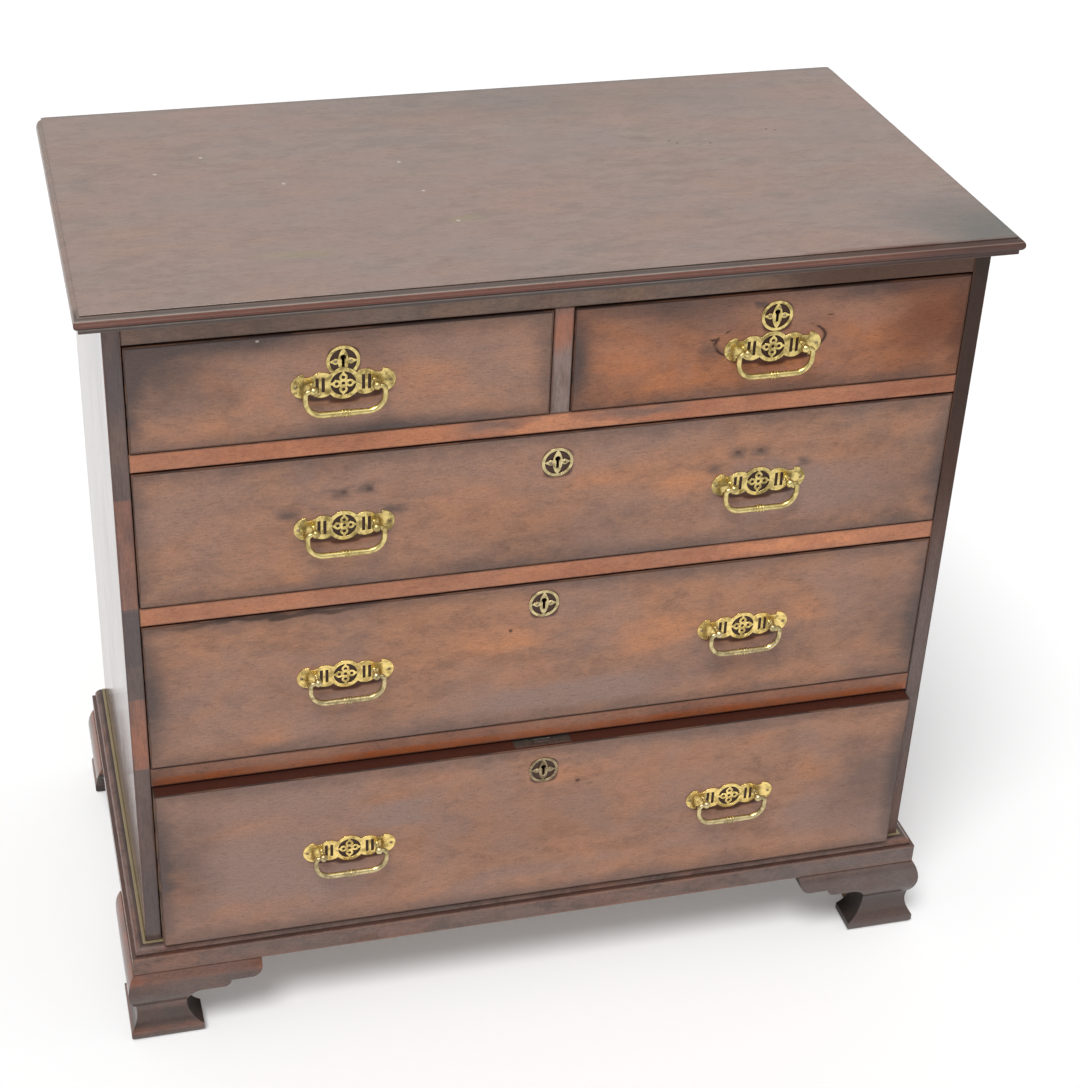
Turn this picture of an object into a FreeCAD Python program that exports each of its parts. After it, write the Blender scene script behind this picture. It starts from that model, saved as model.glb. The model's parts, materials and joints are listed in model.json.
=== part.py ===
"""Bachelors chest of two short over three long drawers, on a moulded base with ogee bracket feet.

Every piece of wood, brass and steel is a separate solid. Lengths are in millimetres. The model is laid
out with the case's front at y = 0, its middle at x = 0 and the floor at z = 0; +Y runs to the back. On
export it is shifted along Y, so that the origin lies under the middle of the whole chest.
"""
import math
import os

import FreeCAD
import Part
from FreeCAD import Vector

# ---- Case --------------------------------------------------------------------------------------------
CASE_WIDTH = 914.0
CASE_DEPTH = 494.0
SIDE_THICK = 18.0
BACK_THICK = 9.0
BACK_RABBET = 9.0
BACK_BOARD_COUNT = 5
BACK_BOARD_GAP = 0.6
BOTTOM_THICK = 10.0
RAIL_DEPTH = 60.0
POST_WIDTH = 20.6
POST_DEPTH = 20.0

# ---- Drawer rows, from the bottom up: the clear openings and the rails between them ------------------
ROW_4_OPENING = 217.0
LOWER_RAIL_HEIGHT = 24.5
ROW_3_OPENING = 185.5
MIDDLE_RAIL_HEIGHT = 22.0
ROW_2_OPENING = 161.0
UPPER_RAIL_HEIGHT = 21.0
ROW_1_OPENING = 119.5
TOP_RAIL_HEIGHT = 23.5
REAR_RAIL_DEPTH = 45.0

# ---- Top board and the thumb moulding on its front and ends ------------------------------------------
TOP_THICK = 19.0
TOP_FRONT_OVERHANG = 20.0
TOP_END_OVERHANG = 26.0
TOP_REAR_OVERHANG = 10.0
TOP_REAR_RADIUS = 13.0
THUMB_WIDTH = 6.5
THUMB_QUIRK = 2.0
THUMB_HEIGHT = 12.0
TOP_FILLET_SETBACK = 4.2

# ---- Base: flat frame under the case and the small moulding planted on it ----------------------------
FRAME_HEIGHT = 25.0
FRAME_PROJECTION = 17.6
FRAME_WIDTH = 70.0
MOULDING_HEIGHT = 9.0
MOULDING_PROJECTION = 13.5
MOULDING_LEDGE = 4.0
MOULDING_STEP = 1.2
MOULDING_FOOT = 1.6

# ---- Ogee bracket feet -------------------------------------------------------------------------------
FOOT_HEIGHT = 93.0
FOOT_STOCK = 40.0
FOOT_TOP_PROJECTION = 18.6
BELLY_PROJECTION = 25.6
BELLY_HEIGHT = 71.0
ARRIS_PROJECTION = 19.6
ARRIS_HEIGHT = 48.0
ARRIS_STEP = 1.0
ANKLE_PROJECTION = 16.8
ANKLE_HEIGHT = 33.0
LIP_PROJECTION = 25.4
LIP_HEIGHT = 12.0
LIP_UNDERCUT = 2.6
LIP_UNDERCUT_HEIGHT = 4.0
TOE_REACH = 58.5
ANKLE_REACH = 41.0
CUSP_REACH = 62.0
CUSP_HEIGHT = 63.5
STEP_REACH = 92.0
STEP_HEIGHT = 72.4
WING_REACH = 128.7
WING_ROUND = 13.5
REAR_BRACKET_THICK = 18.0
BLOCK_WIDTH = 27.0
BLOCK_LIFT = 3.0

# ---- Drawers -----------------------------------------------------------------------------------------
FRONT_THICK = 20.0
FRONT_PROUD = 1.0
FRONT_GAP_TOP = 1.6
FRONT_GAP_BOTTOM = 1.0
FRONT_GAP_SIDE = 1.0
DRAWER_REAR_CLEARANCE = 24.0
DRAWER_SIDE_THICK = 11.0
DRAWER_SIDE_DROP = 5.0
DRAWER_BACK_DROP = 10.0
DRAWER_BOTTOM_THICK = 8.0
DRAWER_BOTTOM_LIFT = 7.5
DRAWER_GROOVE = 4.0
RUNNING_GAP = 0.2
LAP_THICK = 8.0
TAIL_PITCH = 48.0
TAIL_SHARE = 0.66
TAIL_SLOPE = 0.15
BOTTOM_DRAWER_AJAR = 15.0

# ---- Runners, guide and stops inside the case --------------------------------------------------------
RUNNER_WIDTH = 24.0
RUNNER_THICK = 16.0
CENTRE_RUNNER_WIDTH = 64.0
GUIDE_HEIGHT = 20.0
STOP_WIDTH = 34.0
STOP_DEPTH = 24.0
STOP_HEIGHT = 5.0
STOP_INSET = 70.0

# ---- Where the brass sits: handles and keyholes below a front's top edge, keyholes off its middle ----
LEFT_HANDLE_DROP = 59.0
LEFT_KEY_DROP = 34.5
RIGHT_HANDLE_DROP = 62.5
RIGHT_KEY_DROP = 27.7
RIGHT_KEY_SHIFT = 1.5
ROW_2_HANDLE_DROP = 83.0
ROW_2_KEY_DROP = 34.0
ROW_3_HANDLE_DROP = 87.0
ROW_3_KEY_DROP = 26.0
ROW_3_KEY_SHIFT = -7.0
ROW_4_HANDLE_DROP = 106.5
ROW_4_KEY_DROP = 32.0
ROW_4_KEY_SHIFT = -2.5
LONG_DRAWER_HANDLE_X = 225.0

# ---- Brass: backplates, posts, bails and escutcheons -------------------------------------------------
HANDLE_CENTRES = 63.5
PLATE_THICK = 1.2
PLATE_RING_RADIUS = 17.2
PLATE_WINDOW_RADIUS = 12.9
PLATE_LOBE_X = 21.9
PLATE_LOBE_RADIUS = 13.9
PLATE_NECK_HEIGHT = 19.2
PLATE_HEAD_PAST_POST = 7.65
PLATE_HEAD_RADIUS = 13.2
PLATE_SLOT_WIDTH = 3.2
PLATE_SLOT_HEIGHT = 16.2
PLATE_INNER_SLOT_X = 20.2
PLATE_SLOT_BEFORE_POST = 5.45
PLATE_PIN_PAST_POST = 15.95
PIERCED_JOIN = 1.0
PETAL_X = 6.7
PETAL_RADIUS = 4.3
PETAL_TIP_WIDTH = 6.0
PETAL_HOLE_RADIUS = 1.8
ROSETTE_RADIUS = 5.0
POST_REACH = 12.5
POST_BALL_RADIUS = 4.0
POST_STEM_RADIUS = 2.2
POST_COLLAR_RADIUS = 3.4
POST_COLLAR_LENGTH = 1.8
POST_HOLE_CLEARANCE = 0.3
POST_TAIL = 7.0
NUT_WIDTH = 9.0
NUT_THICK = 3.5
NUT_CLEARANCE = 0.1
BAIL_ARM_CLEARANCE = 2.05
BAIL_RADIUS = 2.2
BAIL_DROP = 27.4
BAIL_CORNER = 12.0
BAIL_BEAD_RADIUS = 1.5
BAIL_BEAD_PITCH = 3.2
BAIL_BEAD_COUNT = 3
BAIL_PIN_RADIUS = 1.5
BAIL_PIN_CLEARANCE = 0.08
BAIL_PIN_DEPTH = 2.6
BAIL_PIN_SOCKET = 0.4
PIN_HEAD_RADIUS = 1.7
PIN_HEAD_HEIGHT = 0.9
PIN_SHANK_RADIUS = 0.7
PIN_SHANK_LENGTH = 9.0
ESCUTCHEON_RADIUS = 16.9
ESCUTCHEON_RIM = 3.2
ESCUTCHEON_LOOP_WIDTH = 10.6
ESCUTCHEON_PETAL_X = 7.6
ESCUTCHEON_PETAL_RADIUS = 3.3
ESCUTCHEON_NOTCH_CLEARANCE = 0.3
KEYHOLE_ROUND_RADIUS = 2.9
KEYHOLE_ROUND_Z = 4.2
KEYHOLE_SLOT_WIDTH = 3.0
KEYHOLE_SLOT_DROP = 6.8

# ---- Locks -------------------------------------------------------------------------------------------
LOCK_PLATE_LENGTH = 66.0
LOCK_PLATE_THICK = 1.6
LOCK_PLATE_SETBACK = 4.0
LOCK_CASE_LENGTH = 56.0
LOCK_CASE_DEPTH = 11.0
LOCK_CASE_TAIL = 13.0
LOCK_WALL = 1.2
BOLT_WIDTH = 18.0
BOLT_THICK = 4.0
BOLT_LENGTH = 18.0
BOLT_CLEARANCE = 0.3
BOLT_THROW = 7.0
BOLT_SINK = 0.3
MORTISE_CLEARANCE = 1.0
KEY_PIN_RADIUS = 1.2

# ---- Levels and places that follow from the sizes above ----------------------------------------------
HALF_WIDTH = CASE_WIDTH / 2
HALF_OPENING = HALF_WIDTH - SIDE_THICK
CASE_FLOOR = FOOT_HEIGHT + FRAME_HEIGHT
ROW_4_FLOOR = CASE_FLOOR + BOTTOM_THICK
LOWER_RAIL_Z = ROW_4_FLOOR + ROW_4_OPENING
ROW_3_FLOOR = LOWER_RAIL_Z + LOWER_RAIL_HEIGHT
MIDDLE_RAIL_Z = ROW_3_FLOOR + ROW_3_OPENING
ROW_2_FLOOR = MIDDLE_RAIL_Z + MIDDLE_RAIL_HEIGHT
UPPER_RAIL_Z = ROW_2_FLOOR + ROW_2_OPENING
ROW_1_FLOOR = UPPER_RAIL_Z + UPPER_RAIL_HEIGHT
TOP_RAIL_Z = ROW_1_FLOOR + ROW_1_OPENING
TOP_UNDERSIDE = TOP_RAIL_Z + TOP_RAIL_HEIGHT
TOP_SURFACE = TOP_UNDERSIDE + TOP_THICK
BACK_FRONT_Y = CASE_DEPTH - BACK_THICK
DRAWER_LENGTH = BACK_FRONT_Y + FRONT_PROUD - DRAWER_REAR_CLEARANCE
STOP_Y = FRONT_THICK - FRONT_PROUD + RUNNING_GAP
FOOT_BACK = FOOT_STOCK - BELLY_PROJECTION
BOLT_Y = FRONT_THICK - LOCK_CASE_DEPTH + LOCK_WALL + BOLT_CLEARANCE
POST_X = HANDLE_CENTRES / 2
PLATE_OUTER_SLOT_X = POST_X - PLATE_SLOT_BEFORE_POST
PLATE_HEAD_X = POST_X + PLATE_HEAD_PAST_POST
PLATE_PIN_X = POST_X + PLATE_PIN_PAST_POST
BAIL_ARM_X = POST_X + POST_BALL_RADIUS + BAIL_RADIUS + BAIL_ARM_CLEARANCE
HANDLE_FRONT = POST_REACH + POST_BALL_RADIUS
FRONT_MOST = max(BOTTOM_DRAWER_AJAR + FRONT_PROUD + HANDLE_FRONT, TOP_FRONT_OVERHANG, BELLY_PROJECTION)
Y_CENTRE = (CASE_DEPTH + TOP_REAR_OVERHANG - FRONT_MOST) / 2
FAR = CASE_WIDTH + CASE_DEPTH
Y_AXIS = Vector(0, 1, 0)
X_AXIS = Vector(1, 0, 0)


# ---- Plain shapes ------------------------------------------------------------------------------------
def box(x_span, y_span, z_span):
    """Return a box between two values on each axis."""
    corner = Vector(x_span[0], y_span[0], z_span[0])
    return Part.makeBox(x_span[1] - x_span[0], y_span[1] - y_span[0], z_span[1] - z_span[0], corner)


def centred(middle, width):
    """Return the span of a width about its middle."""
    return (middle - width / 2, middle + width / 2)


def fuse(shapes):
    """Return one solid made of overlapping shapes."""
    return shapes[0].multiFuse(shapes[1:]).removeSplitter()


def mirrored(shape):
    """Return a shape mirrored from one end of the chest to the other."""
    return shape.mirror(Vector(0, 0, 0), X_AXIS)


def rod(x, z, radius, y_span):
    """Return a round rod along Y."""
    return Part.makeCylinder(radius, y_span[1] - y_span[0], Vector(x, y_span[0], z), Y_AXIS)


class Outline:
    """A closed outline of straight lines and arcs on one plane, drawn point by point."""

    def __init__(self, place, start):
        self.place = place
        self.start = start
        self.here = start
        self.edges = []

    def line(self, *points):
        """Draw straight lines through the points."""
        for point in points:
            self.edges.append(Part.makeLine(self.place(*self.here), self.place(*point)))
            self.here = point
        return self

    def arc(self, middle, end):
        """Draw an arc through a middle point to an end point."""
        arc = Part.Arc(self.place(*self.here), self.place(*middle), self.place(*end))
        self.edges.append(arc.toShape())
        self.here = end
        return self

    def face(self):
        """Close the outline and return its face."""
        self.line(self.start)
        return Part.Face(Part.Wire(self.edges))


def front_view(x, z):
    """Place a point drawn in front view on the plane y = 0."""
    return Vector(x, 0, z)


def section(projection, z):
    """Place a point of a moulding's section, by how far it stands in front of the case."""
    return Vector(0, -projection, z)


def front_plate(face, y_span):
    """Return the prism of a front-view face between two values of y."""
    prism = face.extrude(Vector(0, y_span[1] - y_span[0], 0))
    prism.translate(Vector(0, y_span[0], 0))
    return prism


def front_run(section_face):
    """Return a moulding along the whole front from its section."""
    run = section_face.extrude(Vector(2 * FAR, 0, 0))
    run.translate(Vector(-FAR, 0, 0))
    return run


def turned_to_left_side(shape):
    """Return a shape that stands along the front turned to stand along the left side."""
    turned = shape.mirror(Vector(0, 0, 0), Vector(1, -1, 0))
    turned.translate(Vector(-HALF_WIDTH, HALF_WIDTH, 0))
    return turned


def plan_prism(points):
    """Return an upright prism, taller than the chest, on plan points."""
    corners = [Vector(x, y, -FAR) for x, y in points]
    return Part.Face(Part.makePolygon(corners + corners[:1])).extrude(Vector(0, 0, 2 * FAR))


def front_mitre(reach):
    """Return the plan region of a front piece that is mitred at both ends, up to a depth."""
    corner = HALF_WIDTH
    return plan_prism([(-corner - FAR, -FAR), (corner + FAR, -FAR), (corner - reach, reach),
                       (-corner + reach, reach)])


def left_mitre(reach):
    """Return the plan region of a left-hand piece that is mitred at its front end."""
    corner = -HALF_WIDTH
    return plan_prism([(corner - FAR, -FAR), (corner + reach, reach), (corner + reach, CASE_DEPTH),
                       (corner - FAR, CASE_DEPTH)])


# ---- Case --------------------------------------------------------------------------------------------
def thumb_section(front, rear):
    """Return the top board's section: a quirk, a thumb and a set-back fillet, then the flat rear."""
    nose_middle = TOP_SURFACE - THUMB_QUIRK - THUMB_HEIGHT / 2
    fillet = front - TOP_FILLET_SETBACK
    thumb_foot = TOP_SURFACE - THUMB_QUIRK - THUMB_HEIGHT
    outline = Outline(section, (-rear, TOP_UNDERSIDE))
    outline.line((fillet, TOP_UNDERSIDE), (fillet, thumb_foot))
    outline.line((front - THUMB_WIDTH / 2, thumb_foot))
    outline.arc((front, nose_middle), (front - THUMB_WIDTH, TOP_SURFACE - THUMB_QUIRK))
    outline.line((front - THUMB_WIDTH, TOP_SURFACE), (-rear, TOP_SURFACE))
    return outline.face()


def top_board():
    """Return the top board with its moulded front and ends and its rounded rear corners."""
    rear = CASE_DEPTH + TOP_REAR_OVERHANG
    front_to_back = front_run(thumb_section(TOP_FRONT_OVERHANG, rear))
    left_to_right = turned_to_left_side(front_run(thumb_section(TOP_END_OVERHANG, HALF_WIDTH)))
    board = front_to_back.common(left_to_right.fuse(mirrored(left_to_right)).removeSplitter())
    blank = box(centred(0, CASE_WIDTH + 2 * TOP_END_OVERHANG), (-TOP_FRONT_OVERHANG, rear),
                (TOP_UNDERSIDE, TOP_SURFACE))
    rear_edges = [edge for edge in blank.Edges if edge.BoundBox.YMin > CASE_DEPTH
                  and edge.BoundBox.ZLength > TOP_THICK / 2]
    return board.common(blank.makeFillet(TOP_REAR_RADIUS, rear_edges))


def side_left():
    """Return the left side, rabbeted for the back."""
    inner = -HALF_OPENING
    side = box((-HALF_WIDTH, inner), (0, CASE_DEPTH), (CASE_FLOOR, TOP_UNDERSIDE))
    rabbet = box((inner - BACK_RABBET, inner), (BACK_FRONT_Y, CASE_DEPTH), (CASE_FLOOR, TOP_UNDERSIDE))
    return side.cut(rabbet)


def back_boards():
    """Return the upright back boards."""
    span = 2 * (HALF_OPENING + BACK_RABBET)
    pitch = (span + BACK_BOARD_GAP) / BACK_BOARD_COUNT
    boards = []
    for index in range(BACK_BOARD_COUNT):
        left = -span / 2 + index * pitch
        boards.append(box((left, left + pitch - BACK_BOARD_GAP), (BACK_FRONT_Y, CASE_DEPTH),
                          (CASE_FLOOR, TOP_UNDERSIDE)))
    return boards


def bottom_board():
    """Return the board that closes the case's floor and carries the bottom drawer."""
    return box(centred(0, 2 * HALF_OPENING), (0, BACK_FRONT_Y), (CASE_FLOOR, ROW_4_FLOOR))


def rail(z, height, drawers_below):
    """Return a front rail with a mortise over each lock of the drawers below it."""
    shape = box(centred(0, 2 * HALF_OPENING), (0, RAIL_DEPTH), (z, z + height))
    for drawer in drawers_below:
        depth = BOLT_THROW - BOLT_SINK - FRONT_GAP_TOP + MORTISE_CLEARANCE
        y = BOLT_Y - FRONT_PROUD
        shape = shape.cut(box(centred(drawer.key_x, BOLT_WIDTH + 2 * MORTISE_CLEARANCE),
                              (y - MORTISE_CLEARANCE, y + BOLT_THICK + MORTISE_CLEARANCE),
                              (z, z + depth)))
    return shape


def rail_rear_top():
    """Return the rear rail that ties the sides together under the top."""
    return box(centred(0, 2 * HALF_OPENING), (BACK_FRONT_Y - REAR_RAIL_DEPTH, BACK_FRONT_Y),
               (TOP_RAIL_Z, TOP_UNDERSIDE))


def centre_post():
    """Return the post between the two short drawers."""
    return box(centred(0, POST_WIDTH), (0, POST_DEPTH), (ROW_1_FLOOR, TOP_RAIL_Z))


def centre_guide():
    """Return the strip behind the post that keeps the short drawers apart."""
    return box(centred(0, POST_WIDTH), (POST_DEPTH, BACK_FRONT_Y), (ROW_1_FLOOR, ROW_1_FLOOR + GUIDE_HEIGHT))


def drawer_runners():
    """Return the runners behind the rails, two to a row and one more between the short drawers."""
    y_span = (RAIL_DEPTH, BACK_FRONT_Y)
    runners = []
    for floor in (ROW_3_FLOOR, ROW_2_FLOOR, ROW_1_FLOOR):
        left = box((-HALF_OPENING, -HALF_OPENING + RUNNER_WIDTH), y_span, (floor - RUNNER_THICK, floor))
        runners += [left, mirrored(left)]
    runners.append(box(centred(0, CENTRE_RUNNER_WIDTH), y_span, (ROW_1_FLOOR - RUNNER_THICK, ROW_1_FLOOR)))
    return runners


def drawer_stops(drawers):
    """Return the blocks behind the drawer fronts, two to a drawer, that stop it flush."""
    stops = []
    for drawer in drawers:
        for x in (drawer.x_span[0] + STOP_INSET, drawer.x_span[1] - STOP_INSET):
            stops.append(box(centred(x, STOP_WIDTH), (STOP_Y, STOP_Y + STOP_DEPTH),
                             (drawer.floor, drawer.floor + STOP_HEIGHT)))
    return stops


# ---- Base and feet -----------------------------------------------------------------------------------
def base_frame():
    """Return the mitred frame between the feet and the case: front, two sides and rear."""
    inner = FRAME_WIDTH - FRAME_PROJECTION
    outline = Outline(section, (-inner, FOOT_HEIGHT))
    outline.line((FRAME_PROJECTION, FOOT_HEIGHT), (FRAME_PROJECTION, CASE_FLOOR), (-inner, CASE_FLOOR))
    run = front_run(outline.face())
    left = turned_to_left_side(run).common(left_mitre(inner))
    rear = box(centred(0, 2 * (HALF_WIDTH - inner)), (CASE_DEPTH - inner, CASE_DEPTH),
               (FOOT_HEIGHT, CASE_FLOOR))
    return [run.common(front_mitre(inner)), left, mirrored(left), rear]


def base_moulding():
    """Return the mitred moulding strips on the frame: a ledge, a bead and a small foot."""
    top = CASE_FLOOR + MOULDING_HEIGHT
    bead_top = top - MOULDING_STEP
    bead_foot = CASE_FLOOR + MOULDING_FOOT
    bead_width = MOULDING_PROJECTION - MOULDING_LEDGE
    slant = math.sqrt(0.5)
    middle = (MOULDING_LEDGE + bead_width * slant, bead_foot + (bead_top - bead_foot) * slant)
    outline = Outline(section, (0, CASE_FLOOR))
    outline.line((MOULDING_PROJECTION, CASE_FLOOR), (MOULDING_PROJECTION, bead_foot))
    outline.arc(middle, (MOULDING_LEDGE, bead_top))
    outline.line((MOULDING_LEDGE, top), (0, top))
    run = front_run(outline.face())
    left = turned_to_left_side(run).common(left_mitre(0))
    return [run.common(front_mitre(0)), left, mirrored(left)]


def ogee_section():
    """Return the foot's section: a belly, an arris, a hollow ankle and a lip at the floor."""
    outline = Outline(section, (-FOOT_BACK, 0))
    outline.line((LIP_PROJECTION - LIP_UNDERCUT, 0), (LIP_PROJECTION, LIP_UNDERCUT_HEIGHT))
    outline.line((LIP_PROJECTION, LIP_HEIGHT))
    outline.arc((ANKLE_PROJECTION, ANKLE_HEIGHT), (ARRIS_PROJECTION - ARRIS_STEP, ARRIS_HEIGHT))
    outline.line((ARRIS_PROJECTION, ARRIS_HEIGHT))
    outline.arc((BELLY_PROJECTION, BELLY_HEIGHT), (FOOT_TOP_PROJECTION, FOOT_HEIGHT))
    outline.line((-FOOT_BACK, FOOT_HEIGHT))
    return outline.face()


def bracket_view(start):
    """Return the bracket's front view, drawn from the case's corner: toe, ankle, cusp, step and wing."""
    outline = Outline(front_view, (start, 0))
    outline.line((TOE_REACH - LIP_UNDERCUT, 0), (TOE_REACH, LIP_UNDERCUT_HEIGHT), (TOE_REACH, LIP_HEIGHT))
    slant = math.sqrt(0.5)
    hollow_width = TOE_REACH - ANKLE_REACH
    hollow_height = ARRIS_HEIGHT - LIP_HEIGHT
    outline.arc((TOE_REACH - hollow_width * slant, ARRIS_HEIGHT - hollow_height * slant),
                (ANKLE_REACH, ARRIS_HEIGHT))
    cove_width = CUSP_REACH - ANKLE_REACH
    cove_height = CUSP_HEIGHT - ARRIS_HEIGHT
    outline.arc((CUSP_REACH - cove_width * slant, ARRIS_HEIGHT + cove_height * slant),
                (CUSP_REACH, CUSP_HEIGHT))
    step_height = STEP_HEIGHT - CUSP_HEIGHT
    outline.line((STEP_REACH - step_height, CUSP_HEIGHT))
    outline.arc((STEP_REACH - step_height * (1 - slant), CUSP_HEIGHT + step_height * (1 - slant)),
                (STEP_REACH, STEP_HEIGHT))
    outline.line((WING_REACH - WING_ROUND, STEP_HEIGHT))
    outline.arc((WING_REACH - WING_ROUND * (1 - slant), STEP_HEIGHT + WING_ROUND * (1 - slant)),
                (WING_REACH, STEP_HEIGHT + WING_ROUND))
    outline.line((WING_REACH, FOOT_HEIGHT), (start, FOOT_HEIGHT))
    return outline.face()


def left_bracket(y_span):
    """Return the bracket view's prism at the chest's left-hand front corner."""
    prism = front_plate(bracket_view(-2 * BELLY_PROJECTION), y_span)
    prism.translate(Vector(-HALF_WIDTH, 0, 0))
    return prism


def foot_front_left():
    """Return the two mitred ogee brackets of the left front foot."""
    bracket = left_bracket((-FAR, FAR)).common(front_run(ogee_section()))
    side = turned_to_left_side(bracket)
    return [bracket.common(front_mitre(FOOT_BACK)), side.common(left_mitre(FOOT_BACK))]


def turned_bracket():
    """Return an ogee bracket along the left side with its toe at the case's rear end."""
    bracket = turned_to_left_side(left_bracket((-FAR, FAR)).common(front_run(ogee_section())))
    bracket = bracket.mirror(Vector(0, CASE_DEPTH / 2, 0), Y_AXIS)
    return bracket.common(plan_prism([(-FAR, 0), (0, 0), (0, CASE_DEPTH), (-FAR, CASE_DEPTH)]))


def foot_rear_left():
    """Return the left rear foot: an ogee bracket on the side and a plain bracket across the back."""
    plain = left_bracket((CASE_DEPTH - REAR_BRACKET_THICK, CASE_DEPTH))
    inside = plan_prism([(-HALF_WIDTH + FOOT_BACK, 0), (0, 0), (0, CASE_DEPTH),
                         (-HALF_WIDTH + FOOT_BACK, CASE_DEPTH)])
    return [turned_bracket(), plain.common(inside)]


def foot_blocks():
    """Return the glue block in the angle of each foot."""
    x_span = (-HALF_WIDTH + FOOT_BACK, -HALF_WIDTH + FOOT_BACK + BLOCK_WIDTH)
    rear_y = CASE_DEPTH - REAR_BRACKET_THICK
    z_span = (BLOCK_LIFT, FOOT_HEIGHT)
    front = box(x_span, (FOOT_BACK, FOOT_BACK + BLOCK_WIDTH), z_span)
    rear = box(x_span, (rear_y - BLOCK_WIDTH, rear_y), z_span)
    return [front, mirrored(front), rear, mirrored(rear)]


# ---- Brass -------------------------------------------------------------------------------------------
def flat_plate(faces, y_span):
    """Return the fused prism of several front-view faces."""
    return fuse([front_plate(face, y_span) for face in faces])


def disc(x, z, radius):
    """Return a round front-view face."""
    circle = Part.makeCircle(radius, Vector(x, 0, z), Y_AXIS)
    return Part.Face(Part.Wire([circle]))


def rectangle(x_span, z_span):
    """Return a rectangular front-view face."""
    corners = [(x_span[0], z_span[0]), (x_span[1], z_span[0]), (x_span[1], z_span[1])]
    return Outline(front_view, corners[0]).line(*corners[1:], (x_span[0], z_span[1])).face()


def pointed_tip(radius_from, radius_to, width, angle):
    """Return the tip that joins a petal to the ring around it, at an angle about the centre."""
    tip = Outline(front_view, (-width / 2, radius_from))
    tip = tip.line((width / 2, radius_from), (0, radius_to)).face()
    tip.rotate(Vector(0, 0, 0), Y_AXIS, angle)
    return tip


def backplate_body(y_span):
    """Return the backplate's outer shape: a ring, two lobes, two necks and two axe heads."""
    neck = PLATE_NECK_HEIGHT / 2
    plate = flat_plate([disc(0, 0, PLATE_RING_RADIUS), disc(PLATE_LOBE_X, 0, PLATE_LOBE_RADIUS),
                        disc(-PLATE_LOBE_X, 0, PLATE_LOBE_RADIUS),
                        rectangle((-PLATE_HEAD_X - PIERCED_JOIN, PLATE_HEAD_X + PIERCED_JOIN),
                                  (-neck, neck))], y_span)
    head = front_plate(disc(PLATE_HEAD_X, 0, PLATE_HEAD_RADIUS), y_span)
    outer_half = box((PLATE_HEAD_X, 2 * PLATE_HEAD_X), y_span, centred(0, 2 * PLATE_HEAD_X))
    head = head.common(outer_half)
    return fuse([plate, head, mirrored(head)])


def quatrefoil(y_span):
    """Return the pierced four-petal figure in the ring's window."""
    faces = [disc(0, 0, ROSETTE_RADIUS)]
    for quarter in range(4):
        angle = 90 * quarter
        petal = disc(0, PETAL_X, PETAL_RADIUS)
        petal.rotate(Vector(0, 0, 0), Y_AXIS, angle)
        tip_start = PETAL_X + PETAL_RADIUS / 2
        faces += [petal, pointed_tip(tip_start, PLATE_WINDOW_RADIUS + PIERCED_JOIN,
                                      PETAL_TIP_WIDTH, angle)]
    figure = flat_plate(faces, y_span)
    for x, z in ((0, 0), (PETAL_X, 0), (-PETAL_X, 0), (0, PETAL_X), (0, -PETAL_X)):
        figure = figure.cut(rod(x, z, PETAL_HOLE_RADIUS, y_span))
    return figure


def backplate(y):
    """Return one pierced backplate about the origin, its back at a value of y."""
    y_span = (y - PLATE_THICK, y)
    plate = backplate_body(y_span).cut(rod(0, 0, PLATE_WINDOW_RADIUS, y_span))
    plate = fuse([plate, quatrefoil(y_span)])
    holes = []
    for side in (-1, 1):
        for slot_x in (PLATE_INNER_SLOT_X, PLATE_OUTER_SLOT_X):
            holes.append(box(centred(side * slot_x, PLATE_SLOT_WIDTH), y_span,
                             centred(0, PLATE_SLOT_HEIGHT)))
        holes.append(rod(side * POST_X, 0, POST_STEM_RADIUS + POST_HOLE_CLEARANCE, y_span))
        holes.append(rod(side * PLATE_PIN_X, 0, PIN_SHANK_RADIUS, y_span))
    return plate.cut(Part.makeCompound(holes))


def keyhole(y_span):
    """Return the keyhole's prism about the origin: a round with a slot below it."""
    slot = rectangle(centred(0, KEYHOLE_SLOT_WIDTH), (-KEYHOLE_SLOT_DROP, KEYHOLE_ROUND_Z))
    return flat_plate([disc(0, KEYHOLE_ROUND_Z, KEYHOLE_ROUND_RADIUS), slot], y_span)


def escutcheon(y):
    """Return one pierced round escutcheon about the origin, its back at a value of y."""
    y_span = (y - PLATE_THICK, y)
    window = ESCUTCHEON_RADIUS - ESCUTCHEON_RIM
    tip = window + PIERCED_JOIN
    loop = Outline(front_view, (0, -tip)).arc((ESCUTCHEON_LOOP_WIDTH / 2, 0), (0, tip))
    loop = loop.arc((-ESCUTCHEON_LOOP_WIDTH / 2, 0), (0, -tip))
    faces = [Part.Face(Part.Wire(loop.edges))]
    for side in (-1, 1):
        faces.append(disc(side * ESCUTCHEON_PETAL_X, 0, ESCUTCHEON_PETAL_RADIUS))
        faces.append(pointed_tip(ESCUTCHEON_PETAL_X, tip, 2 * ESCUTCHEON_PETAL_RADIUS, 90 * side))
    rim = rod(0, 0, ESCUTCHEON_RADIUS, y_span).cut(rod(0, 0, window, y_span))
    plate = fuse([rim] + [front_plate(face, y_span) for face in faces])
    plate = plate.cut(keyhole(y_span))
    for side in (-1, 1):
        plate = plate.cut(rod(side * ESCUTCHEON_PETAL_X, 0, PIN_SHANK_RADIUS, y_span))
    return plate


def round_pin(x, z, y):
    """Return one round-headed pin driven into the drawer front through a plate with its front at y."""
    head = Part.makeSphere(PIN_HEAD_RADIUS, Vector(x, y, z))
    front = box(centred(x, 2 * PIN_HEAD_RADIUS), (y - PIN_HEAD_HEIGHT, y), centred(z, 2 * PIN_HEAD_RADIUS))
    return head.common(front).fuse(rod(x, z, PIN_SHANK_RADIUS, (y, y + PIN_SHANK_LENGTH))).removeSplitter()


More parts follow.
